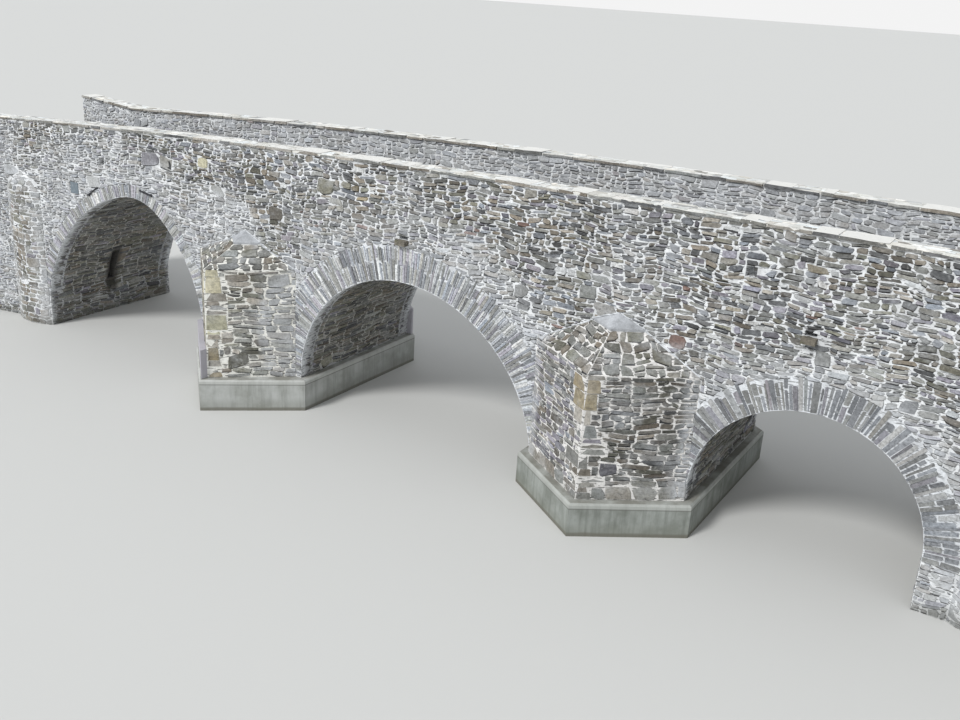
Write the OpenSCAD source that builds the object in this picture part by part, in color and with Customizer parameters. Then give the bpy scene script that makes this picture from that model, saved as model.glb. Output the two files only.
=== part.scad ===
// Old rubble stone bridge with three arches on two piers. Each pier has a
// pointed cutwater on both faces, roofed by a half pyramid with a cap stone,
// and stands in a concrete footing. The road rises in a gentle hump between
// two parapets, whose ends flare outwards.
// X runs along the bridge, Y across it, Z up. The upstream face is at -Y.
// The origin is under the middle of the bridge, at water level.

/* [Across the bridge] */
// Width over both faces
bridge_width = 4400; // [3600:50:6000]
// Thickness of the spandrel walls, the parapets and the arch rings
wall_t = 500; // [350:10:700]

/* [Along the bridge] */
// Length of the left abutment, from its end to the first arch
left_abutment_length = 3850; // [3400:50:5500]
// Length of the right abutment, from the last arch to its end
right_abutment_length = 4400; // [4000:50:6000]
// Length of pier 1 between its arches
pier_1_length = 3310; // [3170:20:4200]
// Length of pier 2 between its arches
pier_2_length = 3560; // [3000:20:4400]

/* [Road and parapets] */
// Place of the crest, right of the middle
crest_x = 8000; // [-2000:100:9000]
// Radius of the hump
hump_radius = 364000; // [300000:1000:900000]
// Height of the parapet masonry above the road
parapet_height = 950; // [700:10:1200]
// Thickness of the road
road_t = 150; // [80:10:300]
// Thickness of the coping slabs
coping_t = 70; // [40:5:150]
// How far the coping stands out on each side of the parapet
coping_overhang = 30; // [0:5:80]
// Coping slabs on each straight stretch of the hump
coping_slabs = 2; // [1:1:4]
// Open joint between two coping slabs
coping_joint = 10; // [4:1:30]

/* [Flared ends] */
// Distance of the left flare of the upstream parapet from the ring of arch 1
left_upstream_flare_gap = 1230; // [80:10:2400]
// Distance of the left flare of the downstream parapet from the ring of arch 1
left_downstream_flare_gap = 80; // [80:10:2400]
// Distance of the right flare of the upstream parapet from the ring of arch 3
right_upstream_flare_gap = 1490; // [340:10:2600]
// Distance of the right flare of the downstream parapet from the ring of arch 3
right_downstream_flare_gap = 340; // [340:10:2600]
// Angle of the flares, in degrees
flare_angle = 11.5; // [4:0.5:18]

/* [Arch 1] */
// Clear span
arch_1_span = 6230; // [5900:10:6600]
// Distance of the crown from the left springing
arch_1_crown = 3760; // [3600:10:3900]
// Height of the springing
arch_1_springing = 1000; // [900:10:1200]
// Height of the crown
arch_1_height = 4350; // [4100:10:4800]
// Depth of the ring of voussoirs
arch_1_ring = 380; // [300:10:430]
// Masonry over its longest voussoir at the crown, up to the underside of the road
arch_1_cover = 175; // [20:5:300]
// Radius of the soffit at the crown, tighter than in the flat haunches
arch_1_crown_radius = 1600; // [1300:20:1900]
// Angle which the crown turns through on the left, before the haunch
arch_1_left_turn = 13; // [8:0.5:20]
// Angle which the crown turns through on the right, before the haunch
arch_1_right_turn = 37; // [28:0.5:40]

/* [Arch 2] */
// Clear span
arch_2_span = 6430; // [5800:10:6900]
// Distance of the crown from the left springing
arch_2_crown = 2960; // [2960:10:3300]
// Height of the springing
arch_2_springing = 860; // [860:10:1300]
// Height of the crown
arch_2_height = 3815; // [3300:10:3815]
// Depth of the inner ring of voussoirs
arch_2_ring = 450; // [300:10:520]
// Depth of the outer ring of voussoirs
arch_2_outer_ring = 410; // [300:10:480]

/* [Arch 3] */
// Clear span
arch_3_span = 4420; // [4420:10:5200]
// Distance of the crown from the left springing
arch_3_crown = 2210; // [2210:10:2400]
// Height of the springing
arch_3_springing = 1010; // [1010:10:1500]
// Height of the crown
arch_3_height = 3215; // [2900:10:3215]
// Depth of the ring of voussoirs
arch_3_ring = 670; // [400:10:760]

/* [Voussoirs] */
// Width of one voussoir along the soffit
voussoir_width = 200; // [140:10:320]
// How much the backs of the voussoirs step in and out
voussoir_step = 40; // [0:5:80]

/* [Piers] */
// Width of the cutwaters of pier 1, which start at its left side
pier_1_cutwater_width = 3160; // [2600:20:3160]
// Width of the cutwaters of pier 2, which start at its left side
pier_2_cutwater_width = 3560; // [2800:20:3560]
// How far the cutwaters of pier 1 stand out from the faces
pier_1_projection = 1420; // [900:10:1700]
// How far the cutwaters of pier 2 stand out from the faces
pier_2_projection = 1280; // [900:10:1700]
// Height of the eaves at pier 1
pier_1_eaves = 3490; // [3300:10:3600]
// Height of the eaves at pier 2
pier_2_eaves = 3340; // [3200:10:3500]
// Rise of the masonry roofs of pier 1, from the eaves to the cap stone
pier_1_roof_rise = 420; // [300:10:600]
// Rise of the masonry roofs of pier 2
pier_2_roof_rise = 650; // [400:10:800]
// Half width of the cap stones of pier 1
pier_1_cap = 470; // [350:10:800]
// Half width of the cap stones of pier 2
pier_2_cap = 560; // [400:10:800]
// Upright edge of the cap stone
cap_edge = 50; // [20:5:120]
// Rise of the cap stone above its edge
cap_rise = 220; // [120:10:400]
// Half width of its blunt point
cap_point = 25; // [10:5:80]

/* [Footings] */
// Height of the concrete footing of pier 1 above the water
pier_1_footing_height = 790; // [500:10:820]
// Height of the concrete footing of pier 2 above the water
pier_2_footing_height = 720; // [500:10:800]
// Width of the ledge around the pier
footing_ledge = 205; // [100:5:300]
// Slope cut along the top edge of the footing
footing_chamfer = 40; // [10:5:70]
// Height of the concrete upstands on the footing of pier 1
upstand_height = 740; // [400:10:900]
// Thickness of the upstands, less than the ledge without its slope
upstand_t = 150; // [40:5:160]

/* [Abutment buttresses] */
// Radius of the rounded front
buttress_radius = 1300; // [1000:50:2000]
// How far it stands out from the face
buttress_projection = 230; // [120:10:300]
// Distance of the left buttresses from the edge of arch 1
left_buttress_gap = 20; // [10:10:100]
// Distance of the right buttresses from the edge of arch 3
right_buttress_gap = 600; // [200:10:700]
// Height of the upright part
buttress_height = 3900; // [3000:50:4200]
// Rise of its sloping top
buttress_top = 500; // [200:10:600]

/* [Niche] */
// Width of the upright niche in the barrel of arch 1
niche_width = 260; // [120:10:500]
// Height of the niche
niche_height = 900; // [400:10:1000]
// Depth of the niche
niche_depth = 180; // [60:10:220]
// Height of its sill above the water
niche_sill = 1000; // [1000:10:1300]
// Distance of its middle from the middle of the barrel, towards upstream
niche_shift = 60; // [0:10:1200]

/* [Drains and plate] */
// Width of the road drain openings in the upstream face
drain_width = 210; // [120:10:260]
// Height of the road drain openings
drain_height = 200; // [80:10:240]
// Place of the first one over arch 1, as a share of its span
drain_1_share = 0.43; // [0.1:0.01:0.9]
// Place of the second one over arch 3, as a share of its span
drain_2_share = 0.145; // [0.1:0.005:0.9]
// How far the spout stone stands out from the face
spout_length = 160; // [80:10:300]
// Width of the slots over the spout stones
spout_width = 220; // [120:10:300]
// Height of the slots
spout_slot = 80; // [40:5:150]
// Depth of the slots into the wall
spout_recess = 300; // [150:10:340]
// Thickness of the spout stones
spout_t = 110; // [60:5:180]
// How far the spout stones run past the slots on each side
spout_margin = 22; // [0:2:80]
// Height of the first slot above the crown of arch 2
spout_1_rise = 970; // [960:10:1150]
// Height of the second slot above the crown of arch 3
spout_2_rise = 1400; // [900:10:1600]
// Distance of the second slot from the crown of arch 3, to the left
spout_2_shift = 350; // [0:10:900]
// Width and height of the blank plate beside arch 1
plate_size = 300; // [200:10:400]
// Thickness of the blank plate
plate_t = 20; // [10:2:40]
// Distance of the plate from the left springing of arch 1
plate_shift = 1350; // [1250:10:1450]
// Height of its lower edge above the water
plate_sill = 4120; // [4000:10:4400]

/* [Hidden] */

UP = -1;
DOWN = 1;
EPS = 1;
round_facets = 360;

// Places along the bridge
bridge_length = left_abutment_length + arch_1_span + arch_2_span + arch_3_span
    + pier_1_length + pier_2_length + right_abutment_length;
left_end = -bridge_length / 2;
right_end = bridge_length / 2;
arch_1_left = left_end + left_abutment_length;
pier_1_left = arch_1_left + arch_1_span;
arch_2_left = pier_1_left + pier_1_length;
pier_2_left = arch_2_left + arch_2_span;
arch_3_left = pier_2_left + pier_2_length;
arch_3_right = arch_3_left + arch_3_span;
pier_1_middle = pier_1_left + pier_1_length / 2;
pier_2_middle = pier_2_left + pier_2_length / 2;
pier_1_top = arch_1_springing;
pier_2_top = arch_3_springing;
half_width = bridge_width / 2;

// Each arch: left springing, span, crown from the left, springing, crown height, ring,
// then the radius of the crown and its angles on the left and on the right
arch_1 = [arch_1_left, arch_1_span, arch_1_crown, arch_1_springing, arch_1_height, arch_1_ring,
          arch_1_crown_radius, arch_1_left_turn, arch_1_right_turn];
arch_2 = [arch_2_left, arch_2_span, arch_2_crown, arch_2_springing, arch_2_height, arch_2_ring,
          0, 0, 0];
arch_3 = [arch_3_left, arch_3_span, arch_3_crown, arch_3_springing, arch_3_height, arch_3_ring,
          0, 0, 0];
arch_2_depth = arch_2_ring + arch_2_outer_ring;

// Each pier: left side, length, half width and projection of its cutwaters, eaves, rise of
// the roofs, half width of the cap stones, height of the footing
pier_1 = [pier_1_left, pier_1_length, pier_1_cutwater_width / 2, pier_1_projection,
          pier_1_eaves, pier_1_roof_rise, pier_1_cap, pier_1_footing_height];
pier_2 = [pier_2_left, pier_2_length, pier_2_cutwater_width / 2, pier_2_projection,
          pier_2_eaves, pier_2_roof_rise, pier_2_cap, pier_2_footing_height];

// Middles of the road drains, and middle and sill height of the spout slots
drain_places = [arch_1_left + arch_1_span * drain_1_share,
                arch_3_left + arch_3_span * drain_2_share];
spout_places = [[arch_2_left + arch_2_crown, arch_2_height + spout_1_rise],
                [arch_3_left + arch_3_crown - spout_2_shift, arch_3_height + spout_2_rise]];

// One side of an arch, measured from the crown: an arc at the crown, which is level at
// the top, and one for the haunch, which runs on from it to the springing. An arch with no
// crown radius of its own is one arc, or two where it is higher than wide, which reach the
// springing upright
upright_turn = 45;
function outward(turn) = [sin(turn), cos(turn)];
function arc_length(radius, turn) = radius * turn * PI / 180;
function side_end(arch, side) = [side < 0 ? arch[2] : arch[1] - arch[2], arch[3] - arch[4]];
function side_excess(arch, side) = max(0, -side_end(arch, side) * [1, 1]);
function crown_turn(arch, side) =
    arch[6] > 0 ? (side < 0 ? arch[7] : arch[8])
    : side_excess(arch, side) > 0 ? upright_turn : 0;
function crown_radius(arch, side) =
    let (share = cos(upright_turn) / (sin(upright_turn) + cos(upright_turn) - 1))
    arch[6] > 0 ? arch[6]
    : side_excess(arch, side) > 0 ? -side_end(arch, side)[1] - side_excess(arch, side) * share : 0;
function crown_end(arch, side) =
    crown_radius(arch, side) * (outward(crown_turn(arch, side)) - [0, 1]);
function haunch_radius(arch, side) =
    let (reach = side_end(arch, side) - crown_end(arch, side))
    -(reach * reach) / (2 * reach * outward(crown_turn(arch, side)));
function haunch_centre(arch, side) =
    crown_end(arch, side) - haunch_radius(arch, side) * outward(crown_turn(arch, side));
function haunch_turn(arch, side) =
    let (spoke = side_end(arch, side) - haunch_centre(arch, side))
    atan2(spoke[0], spoke[1]) - crown_turn(arch, side);
function crown_length(arch, side) = arc_length(crown_radius(arch, side), crown_turn(arch, side));
function side_length(arch, side) = crown_length(arch, side)
    + arc_length(haunch_radius(arch, side), haunch_turn(arch, side));
least_voussoirs = 4;
function side_count(arch, side) =
    max(least_voussoirs, round(side_length(arch, side) / voussoir_width));

// Point on a side at joint k, counted from the springing, and a depth behind the soffit
function joint_point(arch, side, k, depth) =
    let (way = side_length(arch, side) * (1 - k / side_count(arch, side)),
         crown_way = crown_length(arch, side),
         at_crown = way < crown_way,
         radius = at_crown ? crown_radius(arch, side) : haunch_radius(arch, side),
         centre = at_crown ? [0, -radius] : haunch_centre(arch, side),
         start = at_crown ? 0 : crown_turn(arch, side),
         turn = start + (way - (at_crown ? 0 : crown_way)) / radius * 180 / PI,
         point = centre + (radius + depth) * outward(turn))
    [arch[0] + arch[2] + side * point[0], arch[4] + point[1]];

// Soffit line from the left springing over the crown to the right springing
function arch_line(arch, depth) = concat(
    [for (k = [0 : side_count(arch, -1)]) joint_point(arch, -1, k, depth)],
    [for (k = [side_count(arch, 1) - 1 : -1 : 0]) joint_point(arch, 1, k, depth)]);

// Stepped back of the voussoirs: five lengths of stone in a mixed order
step_order = [-1, 0, 1, -0.5, 0.5];
function stone_step(k) = voussoir_step * step_order[k % len(step_order)];
function stepped_line(arch, depth) = concat(
    [for (k = [0 : side_count(arch, -1) - 1], end = [0, 1])
        joint_point(arch, -1, k + end, depth + stone_step(k))],
    [for (k = [side_count(arch, 1) - 1 : -1 : 0], end = [1, 0])
        joint_point(arch, 1, k + end, depth + stone_step(k + 2))]);
function reversed(list) = [for (k = [len(list) - 1 : -1 : 0]) list[k]];

// Height of the underside of the coping along the bridge, from the cover over arch 1
hump_steps = 16;
function hump_drop(x) = pow(x - crest_x, 2) / (2 * hump_radius);
crest_height = arch_1_height + arch_1_ring + voussoir_step + arch_1_cover + road_t
    + parapet_height + hump_drop(arch_1_left + arch_1_crown);
function hump(x) = crest_height - hump_drop(x);

// Profiles in the XZ plane
module opening_profile(arch) {
    polygon(concat(arch_line(arch, 0),
        [[arch[0] + arch[1], -EPS], [arch[0], -EPS]]));
}

module band_profile(arch, depth_in, depth_out) {
    polygon(concat(arch_line(arch, depth_in), reversed(arch_line(arch, depth_out))));
}

module ring_profile(arch, depth_in, depth_out) {
    polygon(concat(arch_line(arch, depth_in), reversed(stepped_line(arch, depth_out))));
}

// The second order, bedded on the stepped back of the first
module outer_ring_profile() {
    polygon(concat(stepped_line(arch_2, arch_2_ring), reversed(stepped_line(arch_2, arch_2_depth))));
}

// Everything below the hump, lowered by a drop, between two places
module under_hump(drop, x_low, x_high, z_low) {
    step = bridge_length / hump_steps;
    intersection() {
        polygon(concat(
            [for (k = [0 : hump_steps]) [left_end + k * step, hump(left_end + k * step) - drop]],
            [[right_end, z_low], [left_end, z_low]]));
        translate([x_low, z_low]) square([x_high - x_low, 2 * crest_height]);
    }
}

module hump_band(drop_low, drop_high, x_low, x_high) {
    difference() {
        under_hump(drop_high, x_low, x_high, 0);
        under_hump(drop_low, x_low - EPS, x_high + EPS, -EPS);
    }
}

// A profile in the XZ plane as a solid from one Y to the other
module across(y_low, y_high) {
    translate([0, y_high, 0]) rotate([90, 0, 0])
        linear_extrude(height = y_high - y_low) children();
}

// The same on the upstream or the downstream face wall
module face_wall(side) {
    if (side == UP) across(-half_width, -half_width + wall_t) children();
    else across(half_width - wall_t, half_width) children();
}

module in_vault() {
    across(-half_width + wall_t, half_width - wall_t) children();
}

// What the arches take up at the faces and between them, for cutting their seats
module openings_profile() {
    opening_profile(arch_1);
    opening_profile(arch_2);
    opening_profile(arch_3);
}

module rings_profile() {
    ring_profile(arch_1, 0, arch_1_ring);
    ring_profile(arch_2, 0, arch_2_ring);
    outer_ring_profile();
    ring_profile(arch_3, 0, arch_3_ring);
}

module vaults_profile() {
    band_profile(arch_1, 0, arch_1_ring);
    band_profile(arch_2, 0, arch_2_depth);
    band_profile(arch_3, 0, arch_3_ring);
}

module arch_seats() {
    across(-half_width - EPS, half_width + EPS) openings_profile();
    for (side = [UP, DOWN]) face_wall(side) rings_profile();
    in_vault() vaults_profile();
}

module piers_profile() {
    translate([pier_1_left, -EPS]) square([pier_1_length, pier_1_top + EPS]);
    translate([pier_2_left, -EPS]) square([pier_2_length, pier_2_top + EPS]);
}

// Piers, seen from the middle of their cutwaters
function axis(pier) = pier[0] + pier[2];
function unit(vector) = vector / norm(vector);
function mitred(point, normal_1, normal_2, grow) =
    point + grow * (normal_1 + normal_2) / (1 + normal_1 * normal_2);

function footing_points(pier, grow) =
    let (left = -pier[2],
         right = pier[1] - pier[2],
         normal_1 = unit([-pier[3], left]),
         normal_2 = unit([pier[3], -right]),
         upstream = [mitred([left, -half_width], [-1, 0], normal_1, grow),
                     mitred([0, -half_width - pier[3]], normal_1, normal_2, grow),
                     mitred([right, -half_width], normal_2, [1, 0], grow)])
    concat(upstream, [for (k = [2 : -1 : 0]) [upstream[k][0], -upstream[k][1]]]);

module footing_plan(pier, grow) {
    polygon(footing_points(pier, grow));
}

// Closed solid through outlines with the same number of points, from the lowest to the highest
module loft(outlines) {
    count = len(outlines[0]);
    last = len(outlines) - 1;
    polyhedron(
        points = [for (outline = outlines) each outline],
        faces = concat(
            [[for (k = [0 : count - 1]) k]],
            [for (level = [0 : last - 1], k = [0 : count - 1])
                let (next = (k + 1) % count, low = level * count, high = low + count)
                [low + k, high + k, high + next, low + next]],
            [[for (k = [count - 1 : -1 : 0]) last * count + k]]));
}

function at_height(points, z) = [for (point = points) [point[0], point[1], z]];

module footing(pier) {
    translate([axis(pier), 0, 0])
        loft([at_height(footing_points(pier, footing_ledge), 0),
              at_height(footing_points(pier, footing_ledge), pier[7] - footing_chamfer),
              at_height(footing_points(pier, footing_ledge - footing_chamfer), pier[7])]);
}

// Kerb of concrete around the bank side and the downstream nose
module upstand(pier) {
    translate([axis(pier), 0, pier[7]])
        linear_extrude(height = upstand_height)
            difference() {
                footing_plan(pier, upstand_t);
                footing_plan(pier, 0);
                translate([0, -bridge_width]) square([pier[1], bridge_width + half_width]);
            }
}

module cutwater_plan(half_length, projection) {
    polygon([[-half_length, 0], [half_length, 0], [0, -projection]]);
}

// Places a child on the upstream face, and its mirror image on the downstream face
module on_face(side, middle) {
    translate([middle, side * half_width, 0])
        if (side == UP) children();
        else mirror([0, 1, 0]) children();
}

module cutwater(side, pier) {
    on_face(side, axis(pier))
        translate([0, 0, pier[7]])
            linear_extrude(height = pier[4] - pier[7])
                cutwater_plan(pier[2], pier[3]);
}

module cutwater_roof(side, pier) {
    on_face(side, axis(pier))
        translate([0, 0, pier[4]])
            linear_extrude(height = pier[5], scale = pier[6] / pier[2])
                cutwater_plan(pier[2], pier[3]);
}

module cap_stone(side, pier) {
    projection = pier[3] * pier[6] / pier[2];
    on_face(side, axis(pier))
        translate([0, 0, pier[4] + pier[5]]) {
            linear_extrude(height = cap_edge) cutwater_plan(pier[6], projection);
            translate([0, 0, cap_edge])
                linear_extrude(height = cap_rise, scale = cap_point / pier[6])
                    cutwater_plan(pier[6], projection);
        }
}

module shaft(pier, top) {
    difference() {
        translate([pier[0], -half_width, pier[7]])
            cube([pier[1], bridge_width, top - pier[7]]);
        arch_seats();
    }
}

// Flares run from the rings of the outer arches to the ends of the bridge
function flare_gap(end, side) =
    end < 0 ? (side == UP ? left_upstream_flare_gap : left_downstream_flare_gap)
            : (side == UP ? right_upstream_flare_gap : right_downstream_flare_gap);
function flare_length(end, side) =
    (end < 0 ? left_abutment_length - arch_1_ring : right_abutment_length - arch_3_ring)
    - voussoir_step - flare_gap(end, side);
function flare_start(end, side) = end * (right_end - flare_length(end, side));
function flare_reach(end, side) = side * flare_length(end, side) * tan(flare_angle);

// Flared wall of one end in plan, as it lies at the left, with an overhang on both sides
module wing_plan(end, side, overhang) {
    length = flare_length(end, side);
    flare = flare_reach(end, side);
    outer = side * (half_width + overhang);
    inner = side * (half_width - wall_t - overhang);
    polygon([[left_end + length, outer], [left_end + length, inner],
             [left_end, inner + flare], [left_end, outer + flare]]);
}

// Inner face of a parapet in plan, from the left end to the right end
function inner_edge(side) =
    let (straight = side * (half_width - wall_t))
    [[left_end, straight + flare_reach(-1, side)], [flare_start(-1, side), straight],
     [flare_start(1, side), straight], [right_end, straight + flare_reach(1, side)]];

module roadway_plan() {
    polygon(concat(inner_edge(UP), reversed(inner_edge(DOWN))));
}

// Turns a left end into a right end
module at_end(end) {
    if (end < 0) children();
    else mirror([1, 0, 0]) children();
}

module abutment(end) {
    low = end < 0 ? left_end : arch_3_right;
    high = end < 0 ? arch_1_left : right_end;
    difference() {
        intersection() {
            linear_extrude(height = crest_height) roadway_plan();
            across(-bridge_width, bridge_width)
                under_hump(parapet_height + road_t, low, high, 0);
        }
        arch_seats();
        if (end < 0) niche();
    }
}

// Upright recess in the foot of the barrel of arch 1, upstream of its middle
module niche() {
    translate([arch_1_left - niche_depth, -niche_shift - niche_width / 2, niche_sill])
        cube([niche_depth + arch_1_ring, niche_width, niche_height]);
}

module wing_wall(end, side) {
    at_end(end)
        linear_extrude(height = hump(flare_start(end, side)))
            wing_plan(end, side, 0);
}

module buttress(end, side) {
    difference() {
        whole_buttress(end, side);
        wing_wall(end, side);
    }
}

module whole_buttress(end, side) {
    half_chord = sqrt(pow(buttress_radius, 2) - pow(buttress_radius - buttress_projection, 2));
    edge = end < 0 ? arch_1_left - left_buttress_gap : -arch_3_right - right_buttress_gap;
    at_end(end)
        on_face(side, edge - half_chord)
            intersection() {
                translate([0, buttress_radius - buttress_projection, 0]) {
                    cylinder(h = buttress_height, r = buttress_radius, $fn = round_facets);
                    translate([0, 0, buttress_height])
                        cylinder(h = buttress_top, r1 = buttress_radius,
                            r2 = buttress_radius - buttress_projection, $fn = round_facets);
                }
                translate([-buttress_radius, -buttress_radius, 0])
                    cube([2 * buttress_radius, buttress_radius, crest_height]);
            }
}

// Spandrel walls, one bay each, of which the outer ones run on to the flares
module spandrel(side, x_low, x_high) {
    difference() {
        face_wall(side)
            difference() {
                under_hump(parapet_height, x_low, x_high, 0);
                openings_profile();
                rings_profile();
                piers_profile();
            }
        for (place = spout_places)
            on_face(side, place[0])
                translate([-spout_width / 2, -EPS, place[1]])
                    cube([spout_width, spout_recess + EPS, spout_slot]);
    }
}

// Stone under each slot, which throws the water clear of the face
module spout_stone(side, place) {
    on_face(side, place[0])
        translate([-spout_width / 2 - spout_margin, -spout_length, place[1] - spout_t])
            cube([spout_width + 2 * spout_margin, spout_length, spout_t]);
}

module plate() {
    translate([arch_1_left + plate_shift, -half_width - plate_t, plate_sill])
        cube([plate_size, plate_t, plate_size]);
}

// The road surface and what lies under it
module fill() {
    in_vault()
        difference() {
            under_hump(parapet_height + road_t, arch_1_left, arch_3_right, 0);
            openings_profile();
            vaults_profile();
            piers_profile();
        }
}

module road() {
    intersection() {
        linear_extrude(height = crest_height) roadway_plan();
        across(-bridge_width, bridge_width)
            hump_band(parapet_height + road_t, parapet_height, left_end, right_end);
    }
}

// Openings at road level through both parapets, which let the rain off
module drain_cuts() {
    for (x = drain_places)
        translate([x - drain_width / 2, -bridge_width, hump(x) - parapet_height - EPS])
            cube([drain_width, 2 * bridge_width, drain_height + EPS]);
}

module parapet(side) {
    difference() {
        face_wall(side)
            hump_band(parapet_height, 0, flare_start(-1, side), flare_start(1, side));
        drain_cuts();
    }
}

// Ends of the coping slabs between the flares, clear of the flares by a third of a slab
function coping_ends(side) =
    let (slab = bridge_length / hump_steps / coping_slabs,
         first = flare_start(-1, side),
         last = flare_start(1, side))
    concat([first],
        [for (x = [left_end + slab : slab : right_end - slab / 2])
            if (x > first + slab / 3 && x < last - slab / 3) x],
        [last]);

module coping(side) {
    low = side == UP ? -half_width - coping_overhang : half_width - wall_t - coping_overhang;
    ends = coping_ends(side);
    for (k = [0 : len(ends) - 2])
        across(low, low + wall_t + 2 * coping_overhang)
            hump_band(0, -coping_t, ends[k] + coping_joint / 2, ends[k + 1] - coping_joint / 2);
    for (end = [-1, 1])
        at_end(end) translate([0, 0, hump(flare_start(end, side))])
            linear_extrude(height = coping_t) wing_plan(end, side, coping_overhang);
}

color("#b9bbb0") {  // pier_1_footing
        footing(pier_1);
        upstand(pier_1);
    }
color("#8a857c") shaft(pier_1, pier_1_top);  // pier_1_shaft
color("#93897a") cutwater(UP, pier_1);  // pier_1_upstream_cutwater
color("#93897a") cutwater(DOWN, pier_1);  // pier_1_downstream_cutwater
color("#9a9284") for (side = [UP, DOWN]) cutwater_roof(side, pier_1);  // pier_1_cutwater_roofs
color("#c3c2ba") for (side = [UP, DOWN]) cap_stone(side, pier_1);  // pier_1_cap_stones
color("#b9bbb0") footing(pier_2);  // pier_2_footing
color("#8a857c") shaft(pier_2, pier_2_top);  // pier_2_shaft
color("#93897a") cutwater(UP, pier_2);  // pier_2_upstream_cutwater
color("#93897a") cutwater(DOWN, pier_2);  // pier_2_downstream_cutwater
color("#9a9284") for (side = [UP, DOWN]) cutwater_roof(side, pier_2);  // pier_2_cutwater_roofs
color("#c3c2ba") for (side = [UP, DOWN]) cap_stone(side, pier_2);  // pier_2_cap_stones

color("#8b867d") abutment(-1);  // left_abutment
color("#8b867d") abutment(1);  // right_abutment

color("#7c776f")  // arch_1_vault
        difference() {
            in_vault() band_profile(arch_1, 0, arch_1_ring);
            niche();
        }
color("#7c776f") in_vault() band_profile(arch_2, 0, arch_2_depth);  // arch_2_vault
color("#7c776f") in_vault() band_profile(arch_3, 0, arch_3_ring);  // arch_3_vault
color("#a3a199") face_wall(UP) ring_profile(arch_1, 0, arch_1_ring);  // arch_1_upstream_ring
color("#a3a199") face_wall(DOWN) ring_profile(arch_1, 0, arch_1_ring);  // arch_1_downstream_ring
color("#a3a199") face_wall(UP) ring_profile(arch_2, 0, arch_2_ring);  // arch_2_upstream_ring
color("#a3a199") face_wall(DOWN) ring_profile(arch_2, 0, arch_2_ring);  // arch_2_downstream_ring
color("#989690") face_wall(UP) outer_ring_profile();  // arch_2_upstream_outer_ring
color("#989690") face_wall(DOWN) outer_ring_profile();  // arch_2_downstream_outer_ring
color("#a3a199") face_wall(UP) ring_profile(arch_3, 0, arch_3_ring);  // arch_3_upstream_ring
color("#a3a199") face_wall(DOWN) ring_profile(arch_3, 0, arch_3_ring);  // arch_3_downstream_ring

color("#8a857c") spandrel(UP, flare_start(-1, UP), pier_1_middle);  // upstream_spandrel_1
color("#87827a") spandrel(UP, pier_1_middle, pier_2_middle);  // upstream_spandrel_2
color("#8a857c") spandrel(UP, pier_2_middle, flare_start(1, UP));  // upstream_spandrel_3
color("#8a857c") spandrel(DOWN, flare_start(-1, DOWN), pier_1_middle);  // downstream_spandrel_1
color("#87827a") spandrel(DOWN, pier_1_middle, pier_2_middle);  // downstream_spandrel_2
color("#8a857c") spandrel(DOWN, pier_2_middle, flare_start(1, DOWN));  // downstream_spandrel_3

color("#6e675c") fill();  // rubble_fill
color("#8f8d88") road();  // roadway
color("#928d85") parapet(UP);  // upstream_parapet
color("#928d85") parapet(DOWN);  // downstream_parapet
color("#d0c8b8") coping(UP);  // upstream_coping
color("#d0c8b8") coping(DOWN);  // downstream_coping
color("#8d877d") for (side = [UP, DOWN]) wing_wall(-1, side);  // left_wing_walls
color("#8d877d") for (side = [UP, DOWN]) wing_wall(1, side);  // right_wing_walls
color("#998f7c") for (side = [UP, DOWN]) buttress(-1, side);  // left_buttresses
color("#998f7c") for (side = [UP, DOWN]) buttress(1, side);  // right_buttresses
color("#6f6a5e") for (side = [UP, DOWN], place = spout_places) spout_stone(side, place);  // spout_stones
color("#8d9092") plate();  // wall_plate
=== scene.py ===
"""Looks of an old rubble stone bridge with three arches on two piers with pointed cutwaters.

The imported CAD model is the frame. Its masonry is dressed in mortar, and every stone that faces it is a
piece of its own shape, bedded on the surface: rubble in rough courses, voussoirs, quoins, roof stones,
coping slabs and setts. All sizes are in metres, in the frame of the CAD model: X along the bridge,
the upstream face at -Y, Z up from the water.
"""

import logging
import math
from dataclasses import astuple, dataclass, field, replace
from enum import Enum, IntEnum
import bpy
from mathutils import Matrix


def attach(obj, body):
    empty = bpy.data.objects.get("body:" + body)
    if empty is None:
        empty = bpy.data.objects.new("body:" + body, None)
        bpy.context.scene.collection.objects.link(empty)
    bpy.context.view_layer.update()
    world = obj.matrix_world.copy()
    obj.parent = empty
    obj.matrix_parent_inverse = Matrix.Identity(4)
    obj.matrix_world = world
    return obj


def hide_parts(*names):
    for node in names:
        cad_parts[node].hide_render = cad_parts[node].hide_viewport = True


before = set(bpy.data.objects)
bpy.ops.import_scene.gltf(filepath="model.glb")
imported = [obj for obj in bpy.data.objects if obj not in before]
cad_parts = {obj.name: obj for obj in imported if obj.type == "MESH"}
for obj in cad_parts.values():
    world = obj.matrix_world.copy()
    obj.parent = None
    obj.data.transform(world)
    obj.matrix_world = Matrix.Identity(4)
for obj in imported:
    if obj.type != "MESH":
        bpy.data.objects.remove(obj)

from fnmatch import fnmatch
from functools import cache, partial, reduce
from typing import Callable, ClassVar, Iterator, Optional, Sequence

import bpy
import numpy as np
from mathutils import Matrix, Vector

LOG = logging.getLogger("stone_bridge")
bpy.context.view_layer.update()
ROOT = "root"

Pair = tuple[float, float]
Triple = tuple[float, float, float]
Four = tuple[float, float, float, float]
Place = Callable[[np.ndarray], np.ndarray]
Socket = bpy.types.NodeSocket

FAR = 99.0
SINK = 0.004
# Dark strips under the stones, painted shadow of their open joints: their depth and how often a stone has one.
SHADOW_STRIP_DEPTH = 0.002
SHADOW_STRIP_CHANCE = 0.8
LEAST_AREA = 0.0016
GAP = 0.012
HOLE_GAP = 0.006
WIDE_GAP = 0.015
NO_EDGE = -1.0


# Sizes of the bridge, as the CAD model has them


class Direction(IntEnum):
    """Way along an axis, by its sign."""

    @property
    def label(self) -> str:
        """What it is called in the names of pieces."""
        return self.name.lower()


class Side(Direction):
    """Faces of the bridge, along Y."""

    UPSTREAM = -1
    DOWNSTREAM = 1


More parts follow.
